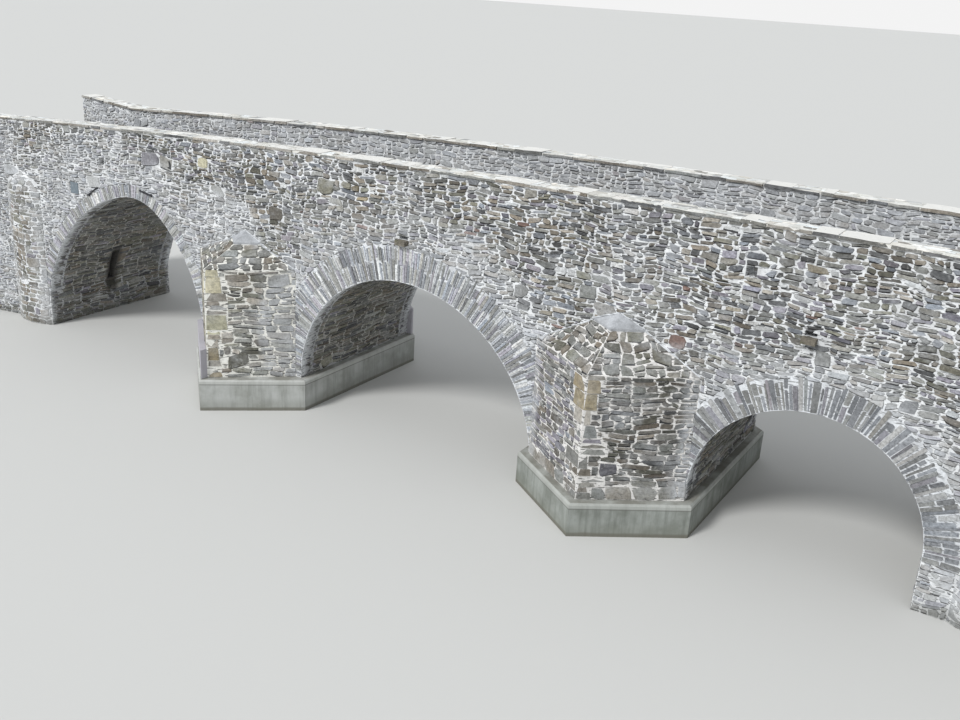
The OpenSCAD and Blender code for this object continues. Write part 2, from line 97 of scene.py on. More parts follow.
class End(Direction):
    """Ends of the bridge, and flanks of an arch or a cutwater, along X."""

    LEFT = -1
    RIGHT = 1


@dataclass(frozen=True)
class Arc:
    """Stretch of a soffit with one radius, between two angles from the upright."""

    x: float
    z: float
    radius: float
    start: float
    end: float

    @property
    def length(self) -> float:
        """Length along the soffit."""
        return self.radius * (self.end - self.start)


@dataclass(frozen=True)
class Arch:
    """One arch with its crown off its middle. A flank is one haunch, or has a tighter arc at the crown too."""

    name: str
    left: float
    span: float
    crown: float
    springing: float
    height: float
    ring: float
    foot: Pair
    crown_radius: float = 0.0
    crown_turns: Pair = (0.0, 0.0)

    @property
    def right(self) -> float:
        """Right edge of the opening."""
        return self.left + self.span

    def arcs(self, flank: End) -> list[Arc]:
        """Arcs of one flank, from the crown to the springing.

        Args:
            flank: The flank, whose arcs are given as those of a right one.

        Returns:
            One arc, or two that run into each other.
        """
        run = self.crown if flank < 0 else self.span - self.crown
        turn, radius = math.radians(self.crown_turns[flank > 0]), self.crown_radius
        outward = (math.sin(turn), math.cos(turn))
        joint = (radius * outward[0], radius * (outward[1] - 1))
        reach = (run - joint[0], self.springing - self.height - joint[1])
        haunch = -(reach[0] ** 2 + reach[1] ** 2) / (2 * (reach[0] * outward[0] + reach[1] * outward[1]))
        x, z = joint[0] - haunch * outward[0], joint[1] - haunch * outward[1]
        end = math.atan2(run - x, self.springing - self.height - z)
        found = [Arc(x, self.height + z, haunch, turn, end)]
        return [Arc(0.0, self.height - radius, radius, 0.0, turn), *found] if radius else found

    def length(self, flank: End) -> float:
        """Length of the soffit from the crown to the springing."""
        return sum(arc.length for arc in self.arcs(flank))

    def at(self, flank: End, way: float, depth: float) -> Pair:
        """Point at a way from the crown along the soffit and a depth behind it."""
        arc, way = self._arc(flank, way)
        turn, reach = arc.start + way / arc.radius, arc.radius + depth
        return self.left + self.crown + flank * (arc.x + reach * math.sin(turn)), arc.z + reach * math.cos(turn)

    def stretch(self, flank: End, way: float, depth: float) -> float:
        """How much longer the curve at a depth is than the soffit, at a way from the crown."""
        return 1 + depth / self._arc(flank, way)[0].radius

    def _arc(self, flank: End, way: float) -> tuple[Arc, float]:
        """Arc on which a way from the crown ends, and what of the way lies on it."""
        first, *others = self.arcs(flank)
        return (others[0], way - first.length) if others and way > first.length else (first, way)


def box_of(name: str) -> tuple[Vector, Vector]:
    """Lowest and highest corner of a CAD node."""
    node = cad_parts[name]
    corners = [node.matrix_world @ Vector(corner) for corner in node.bound_box]
    return Vector(map(min, zip(*corners))), Vector(map(max, zip(*corners)))


@dataclass(frozen=True)
class PierSizes:
    """Sizes of one pier, as its CAD nodes have them."""

    middle: float
    half: float
    projection: float
    foot: float
    eaves: float
    cap_foot: float
    cap_half: float
    ledges: Pair

    @classmethod
    def of(cls, number: int) -> "PierSizes":
        """Sizes of pier 1 or 2."""
        low, high = box_of(f"pier_{number}_upstream_cutwater")
        cap_low, cap_high = box_of(f"pier_{number}_cap_stones")
        footing_low, footing_high = box_of(f"pier_{number}_footing")
        return cls((low.x + high.x) / 2, (high.x - low.x) / 2, high.y - low.y, low.z, high.z, cap_low.z,
                   (cap_high.x - cap_low.x) / 2, (footing_low.x, footing_high.x))


@dataclass(frozen=True)
class BridgeSizes:
    """Driving sizes shared by the pieces. A pair is for upstream and downstream, or for left and right.

    A slot is half its width, its depth under its middle and its height over it. A drain is half its width,
    and its height.
    """

    half_width: float = 2.2
    wall: float = 0.5
    half_length: float = 16.1
    crest: float = 6.4185
    crest_x: float = 8.0
    hump_radius: float = 364.0
    parapet: float = 0.95
    road: float = 0.15
    coping: float = 0.07
    coping_half: float = 0.5 / 2 + 0.03
    flare: float = math.radians(11.5)
    flare_lengths: Pair = (2.2, 3.35)
    cap_edge: float = 0.05
    cap_top: float = 0.27
    upstand: float = 1.53
    buttress_radius: float = 1.3
    buttress_projection: float = 0.23
    buttress_middles: Pair = (-13.008, 13.038)
    buttress_height: float = 3.9
    buttress_top: float = 0.5
    slot: Triple = (0.14, 0.115, 0.085)
    slots: tuple[Pair, ...] = ((0.25, 4.785), (9.14, 4.615))
    drain: Pair = (0.105, 0.2)
    drains: Pair = (-9.5711, 7.9209)

    def hump(self, x: float) -> float:
        """Height of the underside of the coping."""
        return self.crest - (x - self.crest_x) ** 2 / (2 * self.hump_radius)

    def bend(self, side: Side) -> float:
        """Distance from the middle at which the flare of a face starts."""
        return self.half_length - self.flare_lengths[side > 0]

    def wall_top(self, side: Side, x: float) -> float:
        """Top of the parapet masonry, level along the flares."""
        return self.hump(max(-self.bend(side), min(self.bend(side), x)))

    def road_top(self, x: float) -> float:
        """Height of the road."""
        return self.hump(x) - self.parapet

    def buttress_reach(self, end: End, side: Side) -> float:
        """Distance from the middle of a buttress, outwards, to where its bow meets the face.

        Args:
            end: The end of the bridge.
            side: The face.

        Returns:
            Half its width, or less where the flare starts in front of it.
        """
        middle, inset = abs(self.buttress_middles[end > 0]), self.buttress_radius - self.buttress_projection
        half = math.sqrt(self.buttress_radius**2 - inset**2)
        if middle + half <= self.bend(side):
            return half
        slope = math.tan(self.flare)
        start = slope * (middle - self.bend(side)) + inset
        root = math.sqrt((slope * start) ** 2 - (1 + slope**2) * (start**2 - self.buttress_radius**2))
        return (root - slope * start) / (1 + slope**2)

    def end_reach(self, side: Side, base: float) -> float:
        """Distance of a wall plane from the middle line, at the end of its flare."""
        return base + (self.half_length - self.bend(side)) * math.tan(self.flare)

    def face_end(self, side: Side) -> float:
        """Unrolled distance of the end of a face from the middle."""
        return self.bend(side) + self.flare_lengths[side > 0] / math.cos(self.flare)

    def face(self, side: Side, base: float, turn: int) -> Place:
        """Surface of a face with its flares, unrolled.

        Args:
            side: The face.
            base: Distance of its straight part from the middle line.
            turn: 1 where X grows to the right as the surface is looked at, -1 where it falls.

        Returns:
            A function from places along and up the face to points in space.
        """
        bend, cosine, sine = self.bend(side), math.cos(self.flare), math.sin(self.flare)

        def place(points: np.ndarray) -> np.ndarray:
            """Points in space for places on the face."""
            u = points[:, 0]
            past = np.maximum(0.0, np.abs(u) - bend)
            x = np.sign(u) * (np.minimum(np.abs(u), bend) + past * cosine)
            return np.stack([turn * x, side * (base + past * sine), points[:, 1]], 1)

        return place


SIZES = BridgeSizes()
PIERS = (PierSizes.of(1), PierSizes.of(2))
ARCHES = (
    Arch("arch_1", -12.25, 6.23, 3.76, 1.00, 4.35, 0.38, (0.0, 1.53), 1.6, (13.0, 37.0)),
    Arch("arch_2", -2.71, 6.43, 2.96, 0.86, 3.815, 0.86, (0.79, 0.72)),
    Arch("arch_3", 7.28, 4.42, 2.21, 1.01, 3.215, 0.67, (0.72, 0.0)),
)


# Colours


def linear(code: str) -> Four:
    """Turns a display colour of six hexadecimal digits into the shader's red, green, blue and alpha."""
    parts = [int(code[i : i + 2], 16) / 255 for i in (0, 2, 4)]
    return (*(c / 12.92 if c <= 0.04045 else ((c + 0.055) / 1.055) ** 2.4 for c in parts), 1.0)


NEUTRAL = (0.5, 0.5, 0.5, 1.0)


class Stone(Enum):
    """Kinds of stone that the masons used, with their colours."""

    GREY = "868681"
    BLUE_GREY = "80848a"
    LILAC = "85828a"
    BROWN = "7e776c"
    OLIVE = "78776b"
    SLATE = "5c5d5e"
    RUST = "80685f"
    OCHRE = "8e836b"
    YELLOW = "c3bea4"
    TAN = "98938a"
    PALE = "b2b3b2"
    CREAM = "dddcd5"
    CHALK = "eeeeea"


@dataclass(frozen=True)
class StoneMix:
    """How often each kind of stone comes, and how much each stone's shade differs."""

    shares: dict[Stone, float]
    spread: float
    shade: float

    @classmethod
    def of(cls, spread: float, shade: float = 1.0, **shares: float) -> "StoneMix":
        """Mix of kinds of stone, given by name."""
        return cls({Stone[name]: share for name, share in shares.items()}, spread, shade)

    def pick(self, rng: np.random.Generator) -> Four:
        """Colour of the next stone.

        Args:
            rng: Seeded source of chance.

        Returns:
            The stone's colour for the shader.
        """
        kinds = list(self.shares)
        weights = np.array([self.shares[k] for k in kinds])
        colour = linear(kinds[int(rng.choice(len(kinds), p=weights / weights.sum()))].value)
        shade = self.shade * float(np.exp(np.clip(rng.normal(0.0, self.spread), -0.7, 0.4)))
        warm = float(rng.normal(0.0, 0.02))
        return (colour[0] * shade * (1 + warm), colour[1] * shade, colour[2] * shade * (1 - warm), 1.0)


WALL_MIX = StoneMix.of(0.38, 0.96, GREY=4, BLUE_GREY=1.6, LILAC=1.4, BROWN=2.4, OLIVE=1.2, SLATE=1.9, RUST=0.12,
                       OCHRE=0.08, TAN=1, PALE=0.7)
PIER_MIX = StoneMix.of(0.24, OLIVE=3, BROWN=2.6, GREY=2.4, TAN=1.6, SLATE=0.8, LILAC=0.3, RUST=0.08)
PALE_PIER_MIX = StoneMix.of(0.38, 1.1, OLIVE=3, TAN=3, BROWN=1.6, GREY=1.4)
LILAC_PIER_MIX = StoneMix.of(0.38, 0.96, LILAC=3, GREY=3, BROWN=1.6, BLUE_GREY=1.4)
ROOF_MIX = StoneMix.of(0.22, 0.88, GREY=3, OLIVE=2.4, BROWN=1.6, TAN=1.4, LILAC=0.3)
RING_MIX = StoneMix.of(0.42, 1.26, GREY=2.8, PALE=1.6, BLUE_GREY=2.2, LILAC=1.6, SLATE=0.3)
VAULT_MIX = StoneMix.of(0.32, 1.1, OLIVE=2, SLATE=1.6, GREY=2.4, BROWN=1.4, LILAC=0.3)
QUOIN_MIX = StoneMix.of(0.16, YELLOW=2, TAN=2.4, GREY=1.4, PALE=1.2, OCHRE=0.4)
GREY_QUOIN_MIX = StoneMix.of(0.16, 0.95, GREY=3, TAN=2, LILAC=1, BROWN=1)
OCHRE_MIX = StoneMix.of(0.14, OCHRE=3, TAN=2)
BASE_MIX = StoneMix.of(0.12, TAN=3, BROWN=1.2, GREY=1.5)
ROAD_MIX = StoneMix.of(0.14, GREY=3, BLUE_GREY=2, BROWN=1.2, SLATE=1)
COPING_MIX = StoneMix.of(0.2, 0.85, GREY=2, TAN=1.6, BROWN=1.6, SLATE=1)
CRUST_MIX = StoneMix.of(0.1, CREAM=3, CHALK=5, PALE=0.8, TAN=0.3)
# Near-black colours of the dark strips under the stones: painted shadow of their open joints.
SHADOW_STRIP_MIX = StoneMix.of(0.4, 0.22, SLATE=2, BROWN=1)


# Layout of stones on a surface


def cut(outline: np.ndarray, normal: Pair, start: float) -> np.ndarray:
    """Keeps what lies on the far side of a line.

    Args:
        outline: Corners of a stone, one row each.
        normal: Direction that points to the side that stays.
        start: Distance of the line from the origin along the normal.

    Returns:
        The corners that are left, none where the whole stone goes.
    """
    away = outline @ np.array(normal) - start
    if (away >= 0).all():
        return outline
    kept: list[np.ndarray] = []
    for k in range(len(outline)):
        n = (k + 1) % len(outline)
        if away[k] >= 0:
            kept.append(outline[k])
        if (away[k] >= 0) != (away[n] >= 0):
            kept.append(outline[k] + (outline[n] - outline[k]) * away[k] / (away[k] - away[n]))
    return np.array(kept) if len(kept) > 2 else np.empty((0, 2))


def area_of(outline: np.ndarray) -> float:
    """Area of a flat outline."""
    x, y = outline[:, 0], outline[:, 1]
    return 0.5 * abs(float(np.dot(x, np.roll(y, -1)) - np.dot(y, np.roll(x, -1))))


def newell(corners: np.ndarray) -> np.ndarray:
    """Unit normal of an outline in space."""
    normal = np.cross(corners, np.roll(corners, -1, 0)).sum(0)
    return normal / max(float(np.linalg.norm(normal)), 1e-12)


def facing_up(corners: np.ndarray) -> np.ndarray:
    """Outline turned so that its front is above."""
    return corners if newell(corners)[2] > 0 else corners[::-1]


def strip(start: Pair, stop: Pair, width: float) -> list[Pair]:
    """Corners of a strip on the left of a line."""
    (x0, z0), (x1, z1) = start, stop
    length = math.hypot(x1 - x0, z1 - z0)
    x, z = -(z1 - z0) / length * width, (x1 - x0) / length * width
    return [(x0, z0), (x1, z1), (x1 + x, z1 + z), (x0 + x, z0 + z)]


@dataclass
class Obstacle:
    """A convex place that the stones of a surface stay clear of.

    Its edges are lines, each given by the normal that points away from it and its distance, and it may
    be rounded by a disc. A stone further off than its reach isn't cut.
    """

    lines: list[Triple]
    disc: Optional[Triple] = None
    gap: float = GAP
    REACH: ClassVar[float] = 0.8

    @classmethod
    def polygon(cls, corners: Sequence[Pair], gap: float = GAP) -> "Obstacle":
        """Obstacle from its corners, which run counter-clockwise."""
        lines = []
        for (x, y), (nx, ny) in zip(corners, [*corners[1:], corners[0]]):
            length = math.hypot(nx - x, ny - y)
            normal = ((ny - y) / length, (x - nx) / length)
            lines.append((*normal, normal[0] * x + normal[1] * y))
        return cls(lines, None, gap)

    @classmethod
    def box(cls, x0: float, x1: float, y0: float, y1: float, gap: float = GAP) -> "Obstacle":
        """Obstacle from a level box."""
        return cls.polygon([(x0, y0), (x1, y0), (x1, y1), (x0, y1)], gap)

    def trim(self, outline: np.ndarray) -> np.ndarray:
        """Cuts a stone along the edge of this place that lies most clear of it.

        Args:
            outline: Corners of the stone.

        Returns:
            What is left of the stone.
        """
        middle = outline.mean(0)
        best, normal, start = -math.inf, (0.0, 0.0), 0.0
        for nx, ny, d in self.lines:
            away = nx * middle[0] + ny * middle[1] - d
            if away > best:
                best, normal, start = away, (nx, ny), d
        if self.disc:
            cx, cy, radius = self.disc
            dx, dy = middle[0] - cx, middle[1] - cy
            reach = max(math.hypot(dx, dy), 1e-6)
            if reach - radius > best:
                best, normal = reach - radius, (dx / reach, dy / reach)
                start = normal[0] * cx + normal[1] * cy + radius
        return outline if best > self.REACH else cut(outline, normal, start + self.gap)


@dataclass(frozen=True)
class Courses:
    """Rubble in rough courses: bands of blocks, each one big stone or some rows of flat ones.

    A pair is the least and the most of a size. Rows are thinner between the two places in thin. Names in
    capitals hold what is alike for all rubble: spreads, and chances with the shape from which they count.
    """

    band: Pair = (0.20, 0.38)
    block: Pair = (0.6, 1.6)
    row: float = 0.088
    stone: Pair = (0.12, 0.42)
    joint: Pair = (0.008, 0.058)
    big: float = 0.07
    wander: float = 0.022
    seed: int = 1
    thin: Pair = (FAR, FAR)

    THIN_ROW: ClassVar[float] = 0.07
    LOW_ROW: ClassVar[Pair] = (0.07, 0.85)
    LEAST: ClassVar[Pair] = (0.035, 0.02)
    BIG_LENGTH: ClassVar[Pair] = (1.1, 1.9)
    ROW_COUNT: ClassVar[Pair] = (0.75, 1.3)
    ROW_HEIGHT: ClassVar[Pair] = (0.65, 1.35)
    JOINT_BETA: ClassVar[Pair] = (1.5, 2.8)
    ALONG_BETA: ClassVar[Pair] = (1.1, 2.4)
    UP_BETA: ClassVar[Pair] = (1.3, 2.6)
    POINTED: ClassVar[Pair] = (0.45, 1.4)
    BELLIED: ClassVar[float] = 2.2

    def cells(self, low: Pair, high: Pair, rng: np.random.Generator) -> Iterator[Four]:
        """Splits a field into the places of single stones.

        Args:
            low: Lowest corner of the field.
            high: Highest corner of the field.
            rng: Seeded source of chance.

        Yields:
            Left, right, bottom and top of each place.
        """
        y = low[1]
        while y < high[1] - 0.03:
            top = min(high[1], y + rng.uniform(*self.band))
            if high[1] - top < self.row * 0.6:
                top = high[1]
            x = low[0] - rng.uniform(0.0, 0.4)
            while x < high[0]:
                end = x + rng.uniform(*self.block)
                if rng.random() < self.big:
                    end = x + (top - y) * rng.uniform(*self.BIG_LENGTH)
                    yield x, end, y, top
                else:
                    yield from self._rows(x, end, y, top, rng)
                x = end
            y = top

    def _rows(self, x: float, end: float, y: float, top: float, rng: np.random.Generator) -> Iterator[Four]:
        """Splits one block into rows, and each row into stones."""
        row = self.THIN_ROW if self.thin[0] < x < self.thin[1] else self.row
        count = max(1, round((top - y) / row * rng.uniform(*self.ROW_COUNT)))
        marks = np.cumsum(rng.uniform(*self.ROW_HEIGHT, count))
        levels = [y, *(y + (top - y) * marks / marks[-1])]
        for low, high in zip(levels, levels[1:]):
            left = x
            while left < end - 1e-6:
                right = left + rng.uniform(*self.stone) * (self.LOW_ROW[1] if high - low < self.LOW_ROW[0] else 1.0)
                if end - right < self.stone[0] * 0.7:
                    right = end
                yield left, right, low, high
                left = right

    def outline(self, cell: Four, rng: np.random.Generator) -> np.ndarray:
        """Rounded and uneven outline of the stone in a place.

        Args:
            cell: Left, right, bottom and top of the place.
            rng: Seeded source of chance.

        Returns:
            Corners of the stone, counter-clockwise, or none where the place is too small.
        """
        half = (self.joint[0] + (self.joint[1] - self.joint[0]) * rng.beta(*self.JOINT_BETA, 4)) / 2
        x0, x1 = cell[0] + half[0], cell[1] - half[1]
        y0, y1 = cell[2] + half[2], cell[3] - half[3]
        wide, tall = x1 - x0, y1 - y0
        if wide < self.LEAST[0] or tall < self.LEAST[1]:
            return np.empty((0, 2))
        size, middle = min(wide, tall), (x0 + x1) / 2
        along = rng.beta(*self.ALONG_BETA, 4) * size * (0.95 if wide > 1.5 * tall else 0.6)
        up = rng.beta(*self.UP_BETA, 4) * tall * 0.48
        points = [(x0 + along[0], y0), (x1 - along[1], y0), (x1, y0 + up[1]), (x1, y1 - up[2]),
                  (x1 - along[2], y1), (x0 + along[3], y1), (x0, y1 - up[3]), (x0, y0 + up[0])]
        chance, flat = self.POINTED
        if rng.random() < chance and wide > flat * tall:
            points[6:8] = [(x0 - half[0] * 0.8, y0 + tall * rng.uniform(0.2, 0.85))]
        if rng.random() < chance and wide > flat * tall:
            points[2:4] = [(x1 + half[1] * 0.8, y0 + tall * rng.uniform(0.15, 0.8))]
        if wide > self.BELLIED * tall:
            points.insert(1, (middle + rng.normal(0, 0.1) * wide, y0 - half[2] * rng.uniform(-0.3, 0.9)))
        made = np.array(points) + rng.normal(0.0, size * 0.06, (len(points), 2))
        made[:, 1] += (made[:, 0] - middle) * (rng.normal(0.0, 0.2) * tall / wide)
        return made

    def warp(self, points: np.ndarray) -> np.ndarray:
        """Lets the courses wander, alike for all stones."""
        x, y, k = points[:, 0], points[:, 1], self.seed * 1.7
        lift = np.sin(x * 3.1 + y * 1.3 + k) + 0.7 * np.sin(x * 7.3 - y * 2.1 + 2 * k)
        lift += 0.8 * np.sin(x * 1.1 + y * 4.0 + 3 * k)
        shift = np.sin(y * 9.0 + x * 0.8 + k) + 0.6 * np.sin(y * 21.0 - x * 2.0 + k)
        return points + self.wander * np.stack([shift, lift], 1)


@dataclass
class Beds:
    """Collects the outlines of stones on their surfaces, for one piece."""

    outlines: list[np.ndarray] = field(default_factory=list)
    colours: list[Four] = field(default_factory=list)
    depths: list[float] = field(default_factory=list)

    def add(self, corners: np.ndarray, colour: Four, depth: float) -> None:
        """Adds one stone.

        Args:
            corners: Corners of its bed in space, counter-clockwise as seen from outside.
            colour: Its colour.
            depth: How far it reaches from the bed before it stands out.
        """
        self.outlines.append(np.asarray(corners, float))
        self.colours.append(colour)
        self.depths.append(depth)

    def sink(self, corners: np.ndarray, colour: Four, depth: float = SINK) -> None:
        """Adds one stone on a surface, with its bed at a depth under it."""
        self.add(corners - newell(corners) * depth, colour, depth)

    def mesh(self, name: str) -> bpy.types.Mesh:
        """Mesh with one face for each stone's bed, with its colour and depth as attributes."""
        made = bpy.data.meshes.new(name)
        faces, start = [], 0
        for outline in self.outlines:
            faces.append(tuple(range(start, start + len(outline))))
            start += len(outline)
        made.from_pydata([tuple(c) for c in np.concatenate(self.outlines)], [], faces)
        for key, kind, part, values in (("stone_colour", "FLOAT_COLOR", "color", self.colours),
                                        ("bed_depth", "FLOAT", "value", self.depths)):
            made.attributes.new(key, kind, "FACE").data.foreach_set(part, np.array(values, np.float32).ravel())
        return made


def crevice(outline: np.ndarray, rng: np.random.Generator) -> np.ndarray:
    """Outline of the dark strip under a stone: painted shadow of its open joint.

    Args:
        outline: Corners of the stone.
        rng: Seeded source of chance.

    Returns:
        Four corners, of which the lower two stand out under the stone.
    """
    left, right = outline[outline[:, 0].argmin()], outline[outline[:, 0].argmax()]
    middle, width = (left[0] + right[0]) / 2, right[0] - left[0]
    lower = []
    for half in (outline[outline[:, 0] <= middle], outline[outline[:, 0] > middle]):
        x, y = half[half[:, 1].argmin()]
        lower.append((x + rng.normal(0, 0.05) * width, y - rng.uniform(0.006, 0.03)))
    inset = np.array([0.08 * width, 0.0])
    return np.array([left + inset, *lower, right - inset])


@dataclass(frozen=True)
class Field:
    """Stretch of a surface that rubble fills.

    It runs from its lowest to its highest corner. Limits are lines that the stones stay behind, as normals
    that point inwards and distances. Scale stretches the field before the obstacles are cut out.
    """

    low: Pair
    high: Pair
    place: Place
    limits: Sequence[Triple]
    obstacles: Sequence[Obstacle] = ()
    scale: Optional[Place] = None

    @classmethod
    def level(cls, low: Pair, high: Pair, gaps: Four, place: Place, obstacles: Sequence[Obstacle] = (),
              scale: Optional[Place] = None) -> "Field":
        """Field whose limits are its own edges.

        Args:
            low: Its lowest corner.
            high: Its highest corner.
            gaps: Gaps along its left, right, lower and upper edge.
            place: Turns places on the surface into points in space.
            obstacles: What the stones stay clear of.
            scale: Stretches the field over the surface.

        Returns:
            The field.
        """
        left, right, lower, upper = gaps
        limits = [(1, 0, low[0] + left), (-1, 0, -high[0] + right), (0, 1, low[1] + lower), (0, -1, -high[1] + upper)]
        return cls(low, high, place, limits, obstacles, scale)

    def trim(self, outline: np.ndarray) -> np.ndarray:
        """What the limits and the obstacles leave of a stone."""
        for nx, ny, start in self.limits:
            outline = cut(outline, (nx, ny), start)
        if self.scale and len(outline):
            outline = self.scale(outline)
        for obstacle in self.obstacles:
            if not len(outline):
                break
            outline = obstacle.trim(outline)
        return outline

    def fill(self, beds: Beds, courses: Courses, mix: StoneMix, shadow_strips: Optional[Beds] = None) -> None:
        """Lays rubble.

        Args:
            beds: What the stones are added to.
            courses: Sizes of the stones.
            mix: Kinds of stone.
            shadow_strips: What the dark strips under the stones, painted shadow of their open joints, are added to.
        """
        rng = np.random.default_rng(courses.seed)
        for cell in courses.cells(self.low, self.high, rng):
            outline = courses.outline(cell, rng)
            colour = mix.pick(rng)
            if not len(outline):
                continue
            outline = self.trim(courses.warp(outline))
            if len(outline) < 3 or area_of(outline) < LEAST_AREA:
                continue
            beds.sink(self.place(outline), colour)
            # A dark strip under the stone: painted shadow of its open joint.
            if shadow_strips is not None and rng.random() < SHADOW_STRIP_CHANCE:
                gap = self.place(crevice(outline, rng))
                shadow_strips.sink(gap, SHADOW_STRIP_MIX.pick(rng), SHADOW_STRIP_DEPTH)


# Node trees


FLOAT, VECTOR = "NodeSocketFloat", "NodeSocketVector"


class Wiring:
    """Short hand for wiring the nodes of one tree."""

    def __init__(self, tree: bpy.types.NodeTree) -> None:
        """Starts in a tree."""
        self.tree = tree

    def socket(self, name: str, kind: str, out: bool = False) -> None:
        """Adds a named input or output to the tree."""
        self.tree.interface.new_socket(name=name, in_out="OUTPUT" if out else "INPUT", socket_type=kind)

    def put(self, value: object, socket: Socket) -> None:
        """Links a socket, or writes a plain value, into an input."""
        if isinstance(value, Socket):
            self.tree.links.new(value, socket)
        elif value is not None:
            socket.default_value = value

    def node(self, kind: str, inputs: Optional[dict] = None, **settings: object) -> bpy.types.Node:
        """Adds a node.

        Args:
            kind: The kind of node.
            inputs: Sockets or plain values for its inputs, by name or number.
            settings: Its settings, which are made before the inputs.

        Returns:
            The node.
        """
        made = self.tree.nodes.new(kind)
        for key, value in settings.items():
            setattr(made, key, value)
        for key, value in (inputs or {}).items():
            self.put(value, made.inputs[key])
        return made

    def math(self, operation: str, first: object, second: object = None, clamp: bool = False) -> Socket:
        """Result of a mathematical step."""
        inputs = {0: first, 1: second}
        return self.node("ShaderNodeMath", inputs, operation=operation, use_clamp=clamp).outputs[0]

    def times(self, *factors: object) -> Socket:
        """Product of masks and numbers."""
        return reduce(lambda first, second: self.math("MULTIPLY", first, second), factors)

    def mix(self, share: object, first: object, second: object, blend: str = "MIX") -> Socket:
        """Mix of two colours."""
        inputs = {0: share, 6: first, 7: second}
        return self.node("ShaderNodeMix", inputs, data_type="RGBA", blend_type=blend).outputs[2]

    def stain(self, colour: object, code: str, *masks: object) -> Socket:
        """Colour under a stain, which shows by the product of its masks."""
        return self.mix(self.times(*masks), colour, linear(code))

    def parts(self, vector: object) -> Sequence[Socket]:
        """The three numbers of a vector."""
        return self.node("ShaderNodeSeparateXYZ", {0: vector}).outputs

    def upward(self) -> Socket:
        """How far the surface faces up."""
        return self.parts(self.node("ShaderNodeNewGeometry").outputs["Normal"])[2]

    def vector(self, operation: str, first: object, second: object = None, out: int = 0) -> Socket:
        """Result of a step with vectors."""
        return self.node("ShaderNodeVectorMath", {0: first, 1: second}, operation=operation).outputs[out]

    def stretch(self, vector: object, factors: Triple) -> Socket:
        """Stretches a place before a pattern reads it."""
        return self.vector("MULTIPLY", vector, factors)

    def noise(self, vector: object, scale: object, detail: float = 3.0, rough: float = 0.55) -> Socket:
        """Cloudy pattern from 0 to 1."""
        inputs = {"Vector": vector, "Scale": scale, "Detail": detail, "Roughness": rough}
        return self.node("ShaderNodeTexNoise", inputs).outputs[0]

    def step(self, value: object, low: float, high: float) -> Socket:
        """Smooth step from 0 at the low value to 1 at the high one."""
        inputs = {"Value": value, "From Min": low, "From Max": high}
        return self.node("ShaderNodeMapRange", inputs, interpolation_type="SMOOTHSTEP").outputs[0]

    def near(self, value: object, middle: float, none: float, full: float) -> Socket:
        """Mask of what lies near a middle: none at one distance from it, and full at a shorter one."""
        return self.step(self.math("ABSOLUTE", self.math("SUBTRACT", value, middle)), none, full)

    def group(self, tree: bpy.types.NodeTree, **inputs: object) -> Sequence[Socket]:
        """Places a shared group with its values."""
        return self.node("ShaderNodeGroup", inputs, node_tree=tree).outputs


def put_in_scene(name: str, data: object) -> bpy.types.Object:
    """Adds an object to the scene."""
    made = bpy.data.objects.new(name, data)
    bpy.context.scene.collection.objects.link(made)
    return made


# Shader groups and finishes


def shader_group(name: str, inputs: Sequence[str], outputs: Sequence[str]) -> tuple[Wiring, dict, dict]:
    """Starts a shared shader group that works on a place.

    Args:
        name: Name of the group.
        inputs: Names of its numbers, beside the place, which is its input Vector.
        outputs: Names of the numbers that it gives.

    Returns:
        Its wiring, its inputs' sockets and its outputs' sockets, by name.
    """
    w = Wiring(bpy.data.node_groups.new(name, "ShaderNodeTree"))
    w.socket("Vector", VECTOR)
    for key in inputs:
        w.socket(key, FLOAT)
    for key in outputs:
        w.socket(key, FLOAT, out=True)
    source, sink = w.node("NodeGroupInput"), w.node("NodeGroupOutput")
    return w, {k: source.outputs[k] for k in ("Vector", *inputs)}, {k: sink.inputs[k] for k in outputs}


def make_grain() -> bpy.types.NodeTree:
    """Makes the group for grain and cleavage of split stone, or the sand in mortar.

    Returns:
        The group, whose Shade is also its Height.
    """
    w, src, out = shader_group("split_stone_grain", ("Scale", "Layers"), ("Shade", "Height"))
    place, scale, share = src["Vector"], src["Scale"], src["Layers"]
    coarse = w.noise(place, scale, 4.0, 0.6)
    fine = w.noise(place, w.times(scale, 7.0), 2.0, 0.6)
    layers = w.noise(w.stretch(place, (1.0, 1.0, 14.0)), w.times(scale, 0.5), 3.0, 0.6)
    body = w.math("ADD", w.times(coarse, 0.6), w.times(fine, 0.4))
    mixed = w.math("ADD", w.times(body, w.math("SUBTRACT", 1.0, share)), w.times(layers, share))
    for socket in out.values():
        w.put(mixed, socket)
    return w.tree


def make_weather() -> bpy.types.NodeTree:
    """Makes the group for dirt in clouds, streaks that run down, spots of lichen, and haze of lime.

    Returns:
        The group.
    """
    w, src, out = shader_group("weather", (), ("Dirt", "Streaks", "Lichen", "Haze"))
    place = src["Vector"]
    thin = w.noise(w.stretch(place, (3.2, 3.2, 0.35)), 1.0, 4.0, 0.6)
    spots = w.noise(place, 9.0, 4.0, 0.7)
    fields = w.step(w.noise(place, 1.3, 2.0, 0.5), 0.45, 0.62)
    cloud = w.noise(w.stretch(place, (1.0, 1.0, 1.5)), 1.1, 6.0, 0.68)
    w.put(w.step(w.noise(place, 0.55, 5.0, 0.62), 0.36, 0.68), out["Dirt"])
    w.put(w.step(thin, 0.48, 0.74), out["Streaks"])
    w.put(w.times(w.step(spots, 0.56, 0.66), fields), out["Lichen"])
    w.put(w.step(cloud, 0.42, 0.66), out["Haze"])
    return w.tree


@dataclass(frozen=True)
class Bloom:
    """Place where lime has washed out of the masonry: the middle and the half sizes of an ellipsoid."""

    middle: Triple
    reach: Triple


